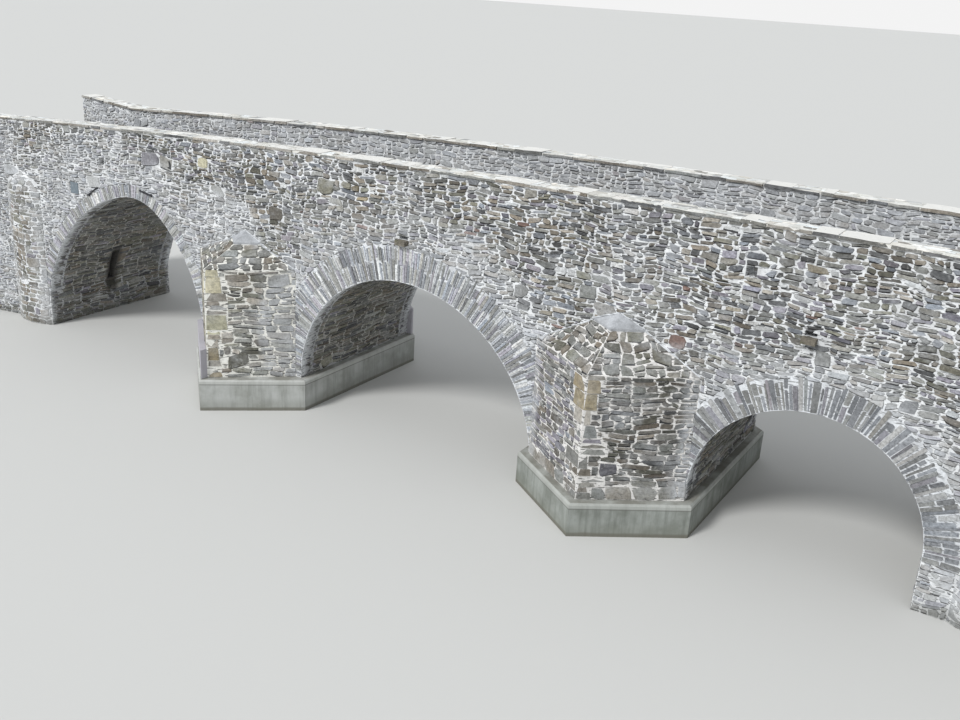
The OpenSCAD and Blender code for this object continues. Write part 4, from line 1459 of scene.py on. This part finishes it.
@dataclass(frozen=True)
class Pier:
    """Stones of one pier: cutwaters with quoins at the apex, and the roofs over them.

    An upstand hides the foot of its left face and of its downstream end. The base is the height of its
    lowest, bigger stones, and ochre is the height of the ochre quoins under the upstream eaves.
    """

    number: int
    upstand: bool
    mix: StoneMix
    left_mix: StoneMix
    quoin_mix: StoneMix
    ochre: float = 0.0
    base: float = 0.0
    courses: Courses = Courses(band=(0.18, 0.34), block=(0.5, 1.3), row=0.1, stone=(0.18, 0.62),
                               joint=(0.01, 0.055), big=0.05, seed=31)
    base_courses: Courses = Courses(band=(0.26, 0.34), big=1.0, joint=(0.01, 0.03), seed=36)
    roof_courses: Courses = Courses(band=(0.14, 0.28), block=(0.25, 0.6), row=0.17, stone=(0.16, 0.46),
                                    joint=(0.01, 0.05), big=0.12, wander=0.02, seed=41)
    RELIEF: ClassVar[Relief] = Relief(0.004, 0.026, 0.01, 0.005)
    QUOIN_RELIEF: ClassVar[Relief] = Relief(0.0, 0.0, 0.01, 0.005)
    ROOF_RELIEF: ClassVar[Relief] = Relief(0.008, 0.034, 0.014, 0.006)
    EDGES: ClassVar[Four] = (0.008, 0.008, GAP, 0.0)
    QUOIN_GAP: ClassVar[float] = 0.004
    LEAST_QUOIN: ClassVar[Pair] = (0.05, 0.08)
    TALL: ClassVar[float] = 0.35

    @property
    def sizes(self) -> PierSizes:
        """Sizes of the pier."""
        return PIERS[self.number - 1]

    def _foot(self, side: Side, flank: End) -> float:
        """Height at which the stones of a cutwater face start."""
        return SIZES.upstand if self.upstand and (side > 0 or flank < 0) else self.sizes.foot

    def _line(self, side: Side, flank: End, half: float, projection: float, z: float) -> tuple[Vector, Vector]:
        """Level line over one face of a cutwater.

        Args:
            side: The face of the bridge.
            flank: The cutwater's flank.
            half: Half width there.
            projection: Distance of its apex from the face of the bridge.
            z: Height of the line.

        Returns:
            Its left and right end, as seen from outside.
        """
        end = Vector((self.sizes.middle + flank * half, side * SIZES.half_width, z))
        apex = Vector((self.sizes.middle, side * (SIZES.half_width + projection), z))
        return (end, apex) if flank * side > 0 else (apex, end)

    def _seed(self, courses: Courses, side: Side, flank: End) -> Courses:
        """Courses with a seed of their own for each face."""
        return replace(courses, seed=courses.seed + 3 * (flank > 0) + 7 * (side + 1) + self.number)

    def _quoins(self, side: Side, beds: Beds, rng: np.random.Generator) -> list[Four]:
        """Lays the quoins of one apex.

        Args:
            side: The face of the bridge.
            beds: What the quoins are added to.
            rng: Seeded source of chance.

        Returns:
            Bottom, top, and reach to the left and to the right of each quoin.
        """
        s = self.sizes
        length = math.hypot(s.half, s.projection)
        apex = np.array([s.middle, side * (SIZES.half_width + s.projection)])
        found, z = [], min(self._foot(side, flank) for flank in End)
        while z < s.eaves - self.LEAST_QUOIN[0]:
            top = min(s.eaves, z + (rng.uniform(0.26, 0.42) if rng.random() < self.TALL else rng.uniform(0.10, 0.2)))
            if s.eaves - top < self.LEAST_QUOIN[1]:
                top = s.eaves
            reach = [rng.uniform(0.14, 0.3), rng.uniform(0.3, 0.56)]
            if rng.random() < 0.5:
                reach.reverse()
            proud, corners = rng.uniform(0.004, 0.02), []
            for flank, far in zip(End, reach):
                along = np.array([flank * s.half, -side * s.projection]) / length
                normal = np.array([flank * s.projection, side * s.half]) / length
                worn = [rng.uniform(0.01, 0.05), far * rng.uniform(0.4, 0.7)]
                corners += [apex + along * worn[0] + normal * (proud - rng.uniform(0.002, 0.012)),
                            apex + along * worn[1] + normal * (proud + rng.normal(0, 0.005)),
                            apex + along * far + normal * (proud - self.QUOIN_GAP)]
            gap = rng.uniform(0.008, 0.035)
            high = side < 0 and top > s.eaves - self.ochre
            colour = (OCHRE_MIX if high else self.quoin_mix).pick(rng)
            loop = [(*corners[k], z + gap / 2) for k in (2, 1, 0, 3, 4, 5)]
            beds.add(np.array(loop[::-side]), colour, top - z - gap)
            found.append((z, top, *reach))
            z = top
        return found

    def _faces(self, side: Side, beds: Beds, gaps: Beds, quoins: list[Four]) -> None:
        """Lays the rubble of the two faces of a cutwater.

        Args:
            side: The face of the bridge.
            beds: What the stones are added to.
            gaps: What the dark strips under the stones, painted shadow of their open joints, are added to.
            quoins: Levels and reaches of the quoins.
        """
        s = self.sizes
        length = math.hypot(s.half, s.projection)
        for flank in End:
            foot = self._foot(side, flank)
            left, right = self._line(side, flank, s.half, s.projection, 0)
            patch = Patch.through(left, right, left + Vector((0, 0, 1)))
            blocks = []
            for low, top, *reach in quoins:
                far = reach[flank > 0] + self.QUOIN_GAP
                span = (length - far, length + 0.1) if flank * side > 0 else (-0.1, far)
                blocks.append(Obstacle.box(*span, low - self.QUOIN_GAP, top + self.QUOIN_GAP, 0.008))
            face = Field.level((0.0, foot), (length, s.eaves), self.EDGES, patch.place, blocks)
            if self.base:
                low_field = replace(face, high=(length, foot + self.base))
                low_field.fill(beds, self._seed(self.base_courses, side, flank), BASE_MIX)
            mix = self.left_mix if flank < 0 else self.mix
            high_field = replace(face, low=(0.0, foot + self.base))
            high_field.fill(beds, self._seed(self.courses, side, flank), mix, gaps)

    def _roofs(self, side: Side, beds: Beds, gaps: Beds) -> None:
        """Lays the stones of the two slopes of a roof."""
        s = self.sizes
        share = s.cap_half / s.half
        for flank in End:
            left, right = self._line(side, flank, s.half, s.projection, s.eaves)
            top_left, top_right = self._line(side, flank, s.cap_half, s.projection * share, s.cap_foot)
            patch = Patch.through(left, right, top_left)
            corners = [patch.flat(p) for p in (left, right, top_right, top_left)]
            slope = Field((0.0, 0.0), (corners[1][0], corners[2][1]), patch.place, edge_limits(corners, 0.006))
            slope.fill(beds, self._seed(self.roof_courses, side, flank), ROOF_MIX, gaps)

    def build(self, stones: StonesFromBeds) -> None:
        """Lays and raises the stones of the pier."""
        rng, name = np.random.default_rng(50 + self.number), f"pier_{self.number}"
        faces, quoins, roofs, gaps = Beds(), Beds(), Beds(), Beds()
        for side in Side:
            self._faces(side, faces, gaps, self._quoins(side, quoins, rng))
            self._roofs(side, roofs, gaps)
        # Dark strips under the stones: painted shadow.
        stones.raise_crevices(f"{name}_crevices", gaps)
        stones.raise_stones(f"{name}_cutwater_stones", faces, RUBBLE, self.RELIEF, self.number)
        stones.raise_stones(f"{name}_quoins", quoins, QUOIN, self.QUOIN_RELIEF)
        stones.raise_stones(f"{name}_roof_stones", roofs, ROOF, self.ROOF_RELIEF, self.number)


@dataclass(frozen=True)
class Ring:
    """Voussoirs of one arch on one face, in one order or in two."""

    arch: Arch
    side: Side
    width: Pair
    seed: int
    first_order: float = 0.0
    ragged: float = 0.16
    split: float = 0.25
    mix: StoneMix = RING_MIX
    RELIEF: ClassVar[Relief] = Relief(0.004, 0.026, 0.008, 0.005)
    CORNERS: ClassVar[tuple[Triple, ...]] = ((0, 0, 0.0), (1, 0, 0.0), (1, 1, 0.0), (0.5, 1, 0.014), (0, 1, 0.0))
    DEPTH: ClassVar[Pair] = (0.28, 0.38)

    def build(self, stones: StonesFromBeds) -> None:
        """Lays and raises the voussoirs."""
        rng, beds, ring = np.random.default_rng(self.seed), Beds(), self.arch.ring
        for flank in End:
            if self.first_order:
                self._order(beds, rng, flank, 0.0, self.first_order + 0.1, 0.2)
            self._order(beds, rng, flank, self.first_order, ring, self.ragged)
        name = f"{self.arch.name}_{self.side.label}_voussoirs"
        stones.raise_stones(name, beds, VOUSSOIR, self.RELIEF, self.seed)

    def _order(self, beds: Beds, rng: np.random.Generator, flank: End, inner: float, outer: float,
               ragged: float) -> None:
        """Lays one order on one flank, from the springing to the crown.

        Args:
            beds: What the voussoirs are added to.
            rng: Seeded source of chance.
            flank: The arch's flank.
            inner: Depth behind the soffit at which the order starts.
            outer: Depth at which it ends.
            ragged: How much shorter a voussoir may be.
        """
        way = self.arch.length(flank)
        while way > 1e-6:
            stretch = self.arch.stretch(flank, way, inner)
            after = way - rng.uniform(*self.width) / stretch
            if after * stretch < self.width[0]:
                after = 0.0
            reach = outer - rng.uniform(0.0, ragged)
            start = inner - rng.uniform(0.0, 0.014 if inner == 0.0 else 0.1)
            middle = rng.uniform(0.3, 0.7) * (start + reach)
            if not self.first_order and rng.random() < self.split:
                self._stone(beds, rng, flank, (way, after), (start, middle - 0.008))
                start = middle + 0.008
            self._stone(beds, rng, flank, (way, after), (start, reach))
            way = after

    def _stone(self, beds: Beds, rng: np.random.Generator, flank: End, ways: Pair, depths: Pair) -> None:
        """Lays one voussoir.

        Args:
            beds: What it is added to.
            rng: Seeded source of chance.
            flank: The arch's flank.
            ways: Its two joints, as ways from the crown.
            depths: Its two ends, as depths behind the soffit.
        """
        gap, lean = rng.uniform(0.007, 0.026), rng.normal(0.0, 0.008)
        corners = []
        for share, depth, lift in self.CORNERS:
            here = depths[depth] + lift
            slack = gap / 2 / self.arch.stretch(flank, ways[0], here) * (2 * share - 1)
            way = ways[0] + (ways[1] - ways[0]) * share + slack + lean * depth
            x, z = self.arch.at(flank, way, here)
            corners.append((x + rng.normal(0, 0.004), z + rng.normal(0, 0.004)))
        if flank > 0:
            corners = [corners[k] for k in (1, 0, 4, 3, 2)]
        depth = rng.uniform(*self.DEPTH)
        y = self.side * (SIZES.half_width - depth)
        beds.add(np.array([(x, y, z) for x, z in corners[:: -self.side]]), self.mix.pick(rng), depth)


@dataclass(frozen=True)
class Barrel:
    """Rubble of the soffit of one arch and of the walls under its springings."""

    arch: Arch
    seed: int
    niche: Optional[Four] = None
    courses: Courses = Courses(band=(0.16, 0.32), block=(0.5, 1.2), row=0.075, stone=(0.2, 0.7),
                               joint=(0.005, 0.036), big=0.03)
    RELIEF: ClassVar[Relief] = Relief(0.004, 0.026, 0.01, 0.004)
    EDGES: ClassVar[Four] = (0.014, 0.014, 0.03, GAP)
    RING_DEPTH: ClassVar[float] = 0.39

    def _lengths(self) -> Four:
        """Lengths of the left wall, both soffits and the right wall. A hidden wall's may be less than none."""
        a = self.arch
        return a.springing - a.foot[0], a.length(End.LEFT), a.length(End.RIGHT), a.springing - a.foot[1]

    def place(self, points: np.ndarray) -> np.ndarray:
        """Points in space for places across and round the barrel."""
        wall, left, right, _ = self._lengths()
        a, rows = self.arch, []
        for y, t in points:
            if t < wall:
                x, z = a.left, a.foot[0] + t
            elif t < wall + left:
                x, z = a.at(End.LEFT, wall + left - t, 0.0)
            elif t < wall + left + right:
                x, z = a.at(End.RIGHT, t - wall - left, 0.0)
            else:
                x, z = a.right, a.springing - (t - wall - left - right)
            rows.append((x, y, z))
        return np.array(rows)

    def build(self, stones: StonesFromBeds) -> None:
        """Lays and raises the stones of the barrel."""
        wall, left, right, other = self._lengths()
        total, half, top = wall + left + right + other, SIZES.half_width, wall + left + right
        blocks = [Obstacle.box(-half - 1, -half + self.RING_DEPTH, wall, top),
                  Obstacle.box(half - self.RING_DEPTH, half + 1, wall, top)]
        if self.niche:
            blocks.append(Obstacle.box(*self.niche))
        beds, gaps = Beds(), Beds()
        soffit = Field.level((-half, 0.0), (half, total), self.EDGES, self.place, blocks)
        soffit.fill(beds, replace(self.courses, seed=self.seed), VAULT_MIX, gaps)
        name = f"{self.arch.name}_barrel"
        # Dark strips under the stones: painted shadow.
        stones.raise_crevices(f"{name}_crevices", gaps)
        stones.raise_stones(f"{name}_stones", beds, VAULT, self.RELIEF, self.seed)


@dataclass(frozen=True)
class Buttresses:
    """Rubble of the two rounded buttresses at one end."""

    end: End
    courses: Courses = Courses(band=(0.2, 0.36), block=(0.4, 0.9), row=0.13, stone=(0.16, 0.45), seed=71)

    def _place(self, side: Side, points: np.ndarray) -> np.ndarray:
        """Points in space for places on the bow of one buttress."""
        s, rows = SIZES, []
        middle, back = s.buttress_middles[self.end > 0], s.half_width + s.buttress_projection - s.buttress_radius
        for u, z in points:
            radius = s.buttress_radius - s.buttress_projection * max(0.0, z - s.buttress_height) / s.buttress_top
            a = u / s.buttress_radius
            rows.append((middle - side * radius * math.sin(a), side * (back + radius * math.cos(a)), z))
        return np.array(rows)

    def build(self, stones: StonesFromBeds) -> None:
        """Lays and raises the stones of both buttresses."""
        s, beds = SIZES, Beds()
        for side in Side:
            reach = s.buttress_radius * math.acos(1 - s.buttress_projection / s.buttress_radius)
            outer = s.buttress_radius * math.asin(s.buttress_reach(self.end, side) / s.buttress_radius)
            low, high = (-reach, outer) if self.end * side < 0 else (-outer, reach)
            limits = edge_limits(bow(low, high, 0.62, 0.27, 0.02), 0.016)
            top = s.buttress_height + s.buttress_top
            front = Field((low, 0.0), (high, top), partial(self._place, side), limits)
            front.fill(beds, replace(self.courses, seed=self.courses.seed + side + 3 * self.end), PIER_MIX)
        stones.raise_stones(f"{self.end.label}_buttress_stones", beds, RUBBLE, END_RELIEF)


@dataclass(frozen=True)
class EndWall:
    """Rubble of the wall in which one end of the bridge stops."""

    end: End
    courses: Courses = Courses(band=(0.24, 0.42), block=(0.5, 1.2), row=0.15, stone=(0.2, 0.6), seed=81)

    def _place(self, points: np.ndarray) -> np.ndarray:
        """Points in space for places on the end."""
        x = np.full(len(points), self.end * SIZES.half_length)
        return np.stack([x, self.end * points[:, 0], points[:, 1]], 1)

    def build(self, stones: StonesFromBeds) -> None:
        """Lays and raises the stones under the road and at the end of each parapet."""
        s, x, beds = SIZES, self.end * SIZES.half_length, Beds()
        left, right = list(Side)[:: self.end]
        low, high = -s.end_reach(left, s.half_width), s.end_reach(right, s.half_width)
        inner_left, inner_right = (s.end_reach(side, s.half_width - s.wall) for side in (left, right))
        deck = s.road_top(x) - s.road
        for start, stop in (((low, 0.0), (high, deck)), ((low, deck), (-inner_left, s.wall_top(left, x))),
                            ((inner_right, deck), (high, s.wall_top(right, x)))):
            Field.level(start, stop, (GAP, GAP, GAP, GAP), self._place).fill(beds, self.courses, WALL_MIX)
        stones.raise_stones(f"{self.end.label}_end_stones", beds, RUBBLE, END_RELIEF)


@dataclass(frozen=True)
class Coping:
    """Rough slabs on one parapet under a crust of lime, in place of the CAD coping."""

    side: Side
    slab: Pair = (0.28, 0.9)
    crust: Courses = Courses(band=(0.12, 0.24), block=(0.3, 0.8), row=0.15, stone=(0.12, 0.42),
                             joint=(0.004, 0.05), big=0.05, wander=0.02, seed=95)
    seed: int = 91
    RELIEF: ClassVar[Relief] = Relief(0.0, 0.008, 0.012, 0.006)
    CRUST_RELIEF: ClassVar[Relief] = Relief(0.002, 0.016, 0.012, 0.004)
    CRUST_EDGES: ClassVar[Four] = (0.01, 0.01, GAP, GAP)
    NEAR_EDGE: ClassVar[Pair] = (0.0, 0.05)
    FAR_EDGE: ClassVar[float] = 0.016
    OVERSAIL: ClassVar[float] = 0.025
    INSET: ClassVar[float] = 0.03
    STEPS: ClassVar[int] = 64

    def _on_top(self, points: np.ndarray, lift: float) -> np.ndarray:
        """Points in space for places along the parapet and out from its middle.

        Args:
            points: Distances along the face, unrolled, and out from the middle of the parapet.
            lift: Height over the masonry.

        Returns:
            The points in space.
        """
        base = SIZES.face(self.side, SIZES.half_width - SIZES.wall / 2, 1)(points)
        tops = [SIZES.wall_top(self.side, x) + lift for x in base[:, 0]]
        return np.stack([base[:, 0], base[:, 1] + self.side * points[:, 1], tops], 1)

    def _slabs(self) -> Beds:
        """Lays the slabs, whose edges are broken by hand."""
        rng, slabs = np.random.default_rng(self.seed + self.side), Beds()
        end, half = SIZES.face_end(self.side), SIZES.coping_half
        u = -end
        while u < end - 1e-6:
            after = u + rng.uniform(*self.slab)
            if end - after < self.slab[0]:
                after = end
            gap = rng.uniform(0.006, 0.03) / 2
            low, high = u + gap, after - gap
            marks = [(low + (high - low) * share, -half - rng.uniform(*self.NEAR_EDGE)) for share in (0.0, 0.3, 0.7, 1.0)]
            marks += [(low + (high - low) * share, half + rng.normal(0.0, self.FAR_EDGE)) for share in (1.0, 0.6, 0.35, 0.0)]
            held = [(min(max(a + rng.normal(0, 0.008), -end), end), min(b, half + self.OVERSAIL)) for a, b in marks]
            outline = facing_up(self._on_top(np.array(held), SINK))
            slabs.add(outline, COPING_MIX.pick(rng), SIZES.coping - 0.012 + rng.uniform(-0.022, 0.004))
            u = after
        return slabs

    def _bed(self) -> Beds:
        """Lays the mortar bed that shows between the slabs."""
        bed, end, half = Beds(), SIZES.face_end(self.side), SIZES.coping_half - self.INSET
        for k in range(self.STEPS):
            a, b = (-end + 2 * end * step / self.STEPS for step in (k, k + 1))
            outline = self._on_top(np.array([(a, -half), (b, -half), (b, half), (a, half)]), 0)
            bed.add(facing_up(outline), NEUTRAL, SIZES.coping - 0.016)
        return bed

    def build(self, stones: StonesFromBeds) -> None:
        """Lays the slabs, their bed and the crust on top."""
        end, half, crust = SIZES.face_end(self.side), SIZES.coping_half, Beds()

        def place(points: np.ndarray) -> np.ndarray:
            """Points in space on the coping, turned so that its top is the front."""
            return self._on_top(points * np.array([1.0, -self.side]), SIZES.coping - 0.012)

        top = Field.level((-end, -half), (end, half), self.CRUST_EDGES, place)
        top.fill(crust, replace(self.crust, seed=self.crust.seed + self.side), CRUST_MIX)
        name = f"{self.side.label}_coping"
        piece = stones.raise_stones(f"{name}_slabs", self._slabs(), SLAB, self.RELIEF, self.seed)
        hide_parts(name)
        stones.raise_stones(f"{name}_mortar", self._bed(), CREAM_MORTAR, FLAT)
        stones.raise_stones(f"{name}_crust", crust, CRUST, self.CRUST_RELIEF, self.seed)


@dataclass(frozen=True)
class Setts:
    """Worn setts of the road, in rows across it."""

    courses: Courses = Courses(band=(0.17, 0.21), block=(0.4, 0.8), row=0.19, stone=(0.15, 0.26),
                               joint=(0.012, 0.024), big=0.0, wander=0.012, seed=101)
    half: float = 2.5
    seed: int = 5
    RELIEF: ClassVar[Relief] = Relief(0.006, 0.014, 0.012, 0.002)

    def _walls(self) -> list[Obstacle]:
        """The parapets beside the road, which open at the flares."""
        s, cosine, sine, found = SIZES, math.cos(SIZES.flare), math.sin(SIZES.flare), []
        inner = s.half_width - s.wall
        for side in reversed(Side):
            reach = s.bend(side) * sine - inner * cosine
            found.append(Obstacle([(side, 0, -inner), (side * cosine, sine, reach), (side * cosine, -sine, reach)],
                                  None, 0.01))
        return found

    def build(self, stones: StonesFromBeds) -> None:
        """Lays and raises the setts."""
        beds, end = Beds(), SIZES.half_length

        def place(points: np.ndarray) -> np.ndarray:
            """Points in space for places on the road."""
            heights = [SIZES.road_top(x) for x in points[:, 1]]
            return np.stack([points[:, 1], -points[:, 0], heights], 1)

        road = Field.level((-self.half, -end), (self.half, end), (NO_EDGE, NO_EDGE, GAP, GAP), place, self._walls())
        road.fill(beds, self.courses, ROAD_MIX)
        stones.raise_stones("road_setts", beds, SETT, self.RELIEF, self.seed)


@dataclass(frozen=True)
class RoofFillets:
    """Mortar fillets where the roofs of the cutwaters meet the faces."""

    width: float = 0.028
    depth: float = 0.02
    RELIEF: ClassVar[Relief] = Relief(0.0, 0.008, 0.006, 0.004)

    def build(self, stones: StonesFromBeds) -> None:
        """Lays the fillets on both faces."""
        beds = Beds()
        for pier in PIERS:
            half, cap, eaves, foot = pier.half, pier.cap_half, pier.eaves, pier.cap_foot
            edge, tip = foot + SIZES.cap_edge, foot + SIZES.cap_top
            line = [(-half, eaves), (-cap, foot), (-cap, edge), (0.0, tip), (cap, edge), (cap, foot), (half, eaves)]
            for side in Side:
                for ends in zip(line, line[1:]):
                    corners = strip(*ends, self.width)[:: -side]
                    bed = np.array([(pier.middle + x, side * SIZES.half_width, z) for x, z in corners])
                    beds.add(bed, NEUTRAL, self.depth)
        stones.raise_stones("roof_mortar_fillets", beds, PALE_MORTAR, self.RELIEF)


# Finish of the CAD nodes

DRESSING = (
    (MORTAR, "*_shaft", "*_abutment", "*_parapet", "*_wing_walls", "*_buttresses", "*_spandrel_*", "rubble_fill"),
    (PALE_MORTAR, "*_ring"),
    (VAULT_MORTAR, "*_vault"),
    (WARM_MORTAR, "pier_1_*cutwater*"),
    (DARK_MORTAR, "pier_2_*cutwater*"),
    (PALE_CONCRETE, "pier_1_footing"),
    (STAINED_CONCRETE, "pier_2_footing"),
    (CAP, "*_cap_stones", "*_coping"),
    (BEDDING, "roadway"),
    (SPOUT, "spout_stones"),
    (PlateFinish("painted_plate"), "wall_plate"),
)


def dress() -> None:
    """Gives each CAD node its material."""
    for name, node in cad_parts.items():
        for finish, *patterns in DRESSING:
            if any(fnmatch(name, pattern) for pattern in patterns):
                node.data.materials.clear()
                node.data.materials.append(finish.material())
                LOG.info("%s: %s", name, finish.name)


# Studio


@dataclass(frozen=True)
class Studio:
    """Camera at the photograph's place, pale floor and soft light."""

    lens: float = 38.485
    place: Triple = (13.035, -19.978, 10.258)
    right: Triple = (0.84529044, 0.53140788, 0.05558545)
    up: Triple = (-0.23069813, 0.2691554, 0.93505815)
    back: Triple = (0.48193614, -0.80321917, 0.35010929)
    floor_reach: float = 400.0
    sun: float = 2.4
    sun_width: float = math.radians(14)
    sun_way: Triple = (0.26, 0.85, -0.8)
    sky: float = 0.72
    sky_colour: Four = (0.93, 0.96, 1.0, 1.0)
    backdrop: Four = (0.9, 0.9, 0.9, 1.0)

    def camera(self) -> None:
        """Makes the camera."""
        data = bpy.data.cameras.new("camera")
        data.sensor_width, data.lens, data.clip_end = 36.0, self.lens, 1000.0
        camera = put_in_scene("camera", data)
        turn = Matrix((self.right, self.up, self.back)).transposed()
        camera.matrix_world = Matrix.Translation(self.place) @ turn.to_4x4()
        bpy.context.scene.camera = camera

    def floor(self) -> None:
        """Makes the floor."""
        r = self.floor_reach
        mesh = bpy.data.meshes.new("floor")
        mesh.from_pydata([(-r, -r, 0), (r, -r, 0), (r, r, 0), (-r, r, 0)], [], [(0, 1, 2, 3)])
        mesh.materials.append(PlainFinish("pale_floor").material())
        put_in_scene("floor", mesh)

    def light(self) -> None:
        """Makes the soft key light and the even light around the bridge."""
        key = bpy.data.lights.new("key", "SUN")
        key.energy, key.angle = self.sun, self.sun_width
        put_in_scene("key", key).rotation_euler = Vector(self.sun_way).to_track_quat("-Z", "Y").to_euler()
        world = bpy.data.worlds.new("studio")
        world.use_nodes = True
        bpy.context.scene.world = world
        world.node_tree.nodes.clear()
        w = Wiring(world.node_tree)
        even = w.node("ShaderNodeBackground", {0: self.sky_colour, 1: self.sky})
        white = w.node("ShaderNodeBackground", {0: self.backdrop})
        seen = w.node("ShaderNodeLightPath").outputs["Is Camera Ray"]
        choice = w.node("ShaderNodeMixShader", {0: seen, 1: even.outputs[0], 2: white.outputs[0]})
        w.node("ShaderNodeOutputWorld", {0: choice.outputs[0]})

    def build(self) -> None:
        """Makes the whole studio."""
        self.camera()
        self.floor()
        self.light()
        bpy.context.scene.view_settings.view_transform = "Standard"


def main() -> None:
    """Builds the studio and every sub-assembly in order."""
    logging.basicConfig(level=logging.INFO, format="%(name)s: %(message)s")
    Studio().build()
    dress()
    inside = Courses(band=(0.2, 0.34), seed=21)
    pale_courses = replace(Pier.courses, row=0.12, stone=(0.22, 0.7), joint=(0.012, 0.06))
    # Pier 2's right flanks have darker stones and are darkened further as painted shade of the side turned from the
    # key light; arch 3's ring is darkened as painted shadow of leaves.
    shaded_right_flank_mix, leaf_shaded_ring_mix = replace(PIER_MIX, spread=0.34, shade=0.56), replace(RING_MIX, shade=0.66)
    parts = [
        FaceWall(Side.UPSTREAM, Courses(seed=11, thin=(-20.0, -5.6)), (-10.9, 4.12),
                 ((Stone.YELLOW, -5.82, 5.62, 0.36, 0.26), (Stone.RUST, 6.72, 3.95, 0.34, 0.28)),
                 (((-10.19, 4.13), (-9.77, 4.41)), ((-8.14, 4.58), (-7.67, 4.50)))),
        FaceWall(Side.DOWNSTREAM, Courses(seed=12, thin=(5.6, 20.0))),
        ParapetInside(Side.UPSTREAM, inside),
        ParapetInside(Side.DOWNSTREAM, replace(inside, row=0.09, seed=22)),
        Pier(1, True, PALE_PIER_MIX, PALE_PIER_MIX, QUOIN_MIX, courses=pale_courses),
        Pier(2, False, shaded_right_flank_mix, LILAC_PIER_MIX, GREY_QUOIN_MIX, ochre=0.75, base=0.3),
    ]
    for number, side in enumerate(Side):
        parts += [Ring(ARCHES[0], side, (0.045, 0.10), 200 + number, ragged=0.08, split=0.1),
                  Ring(ARCHES[1], side, (0.036, 0.08), 210 + number, first_order=0.45),
                  Ring(ARCHES[2], side, (0.05, 0.11), 220 + number, ragged=0.2, split=0.35, mix=leaf_shaded_ring_mix)]
    niches = ((-0.19, 0.07, 1.0, 1.91), None, None)
    parts += [Barrel(arch, 61 + number, niche) for number, (arch, niche) in enumerate(zip(ARCHES, niches))]
    parts += [kind(end) for end in End for kind in (Buttresses, EndWall)]
    parts += [*(Coping(side) for side in Side), Setts(), RoofFillets()]
    stones = StonesFromBeds()
    for part in parts:
        part.build(stones)


if __name__ == "__main__":
    main()
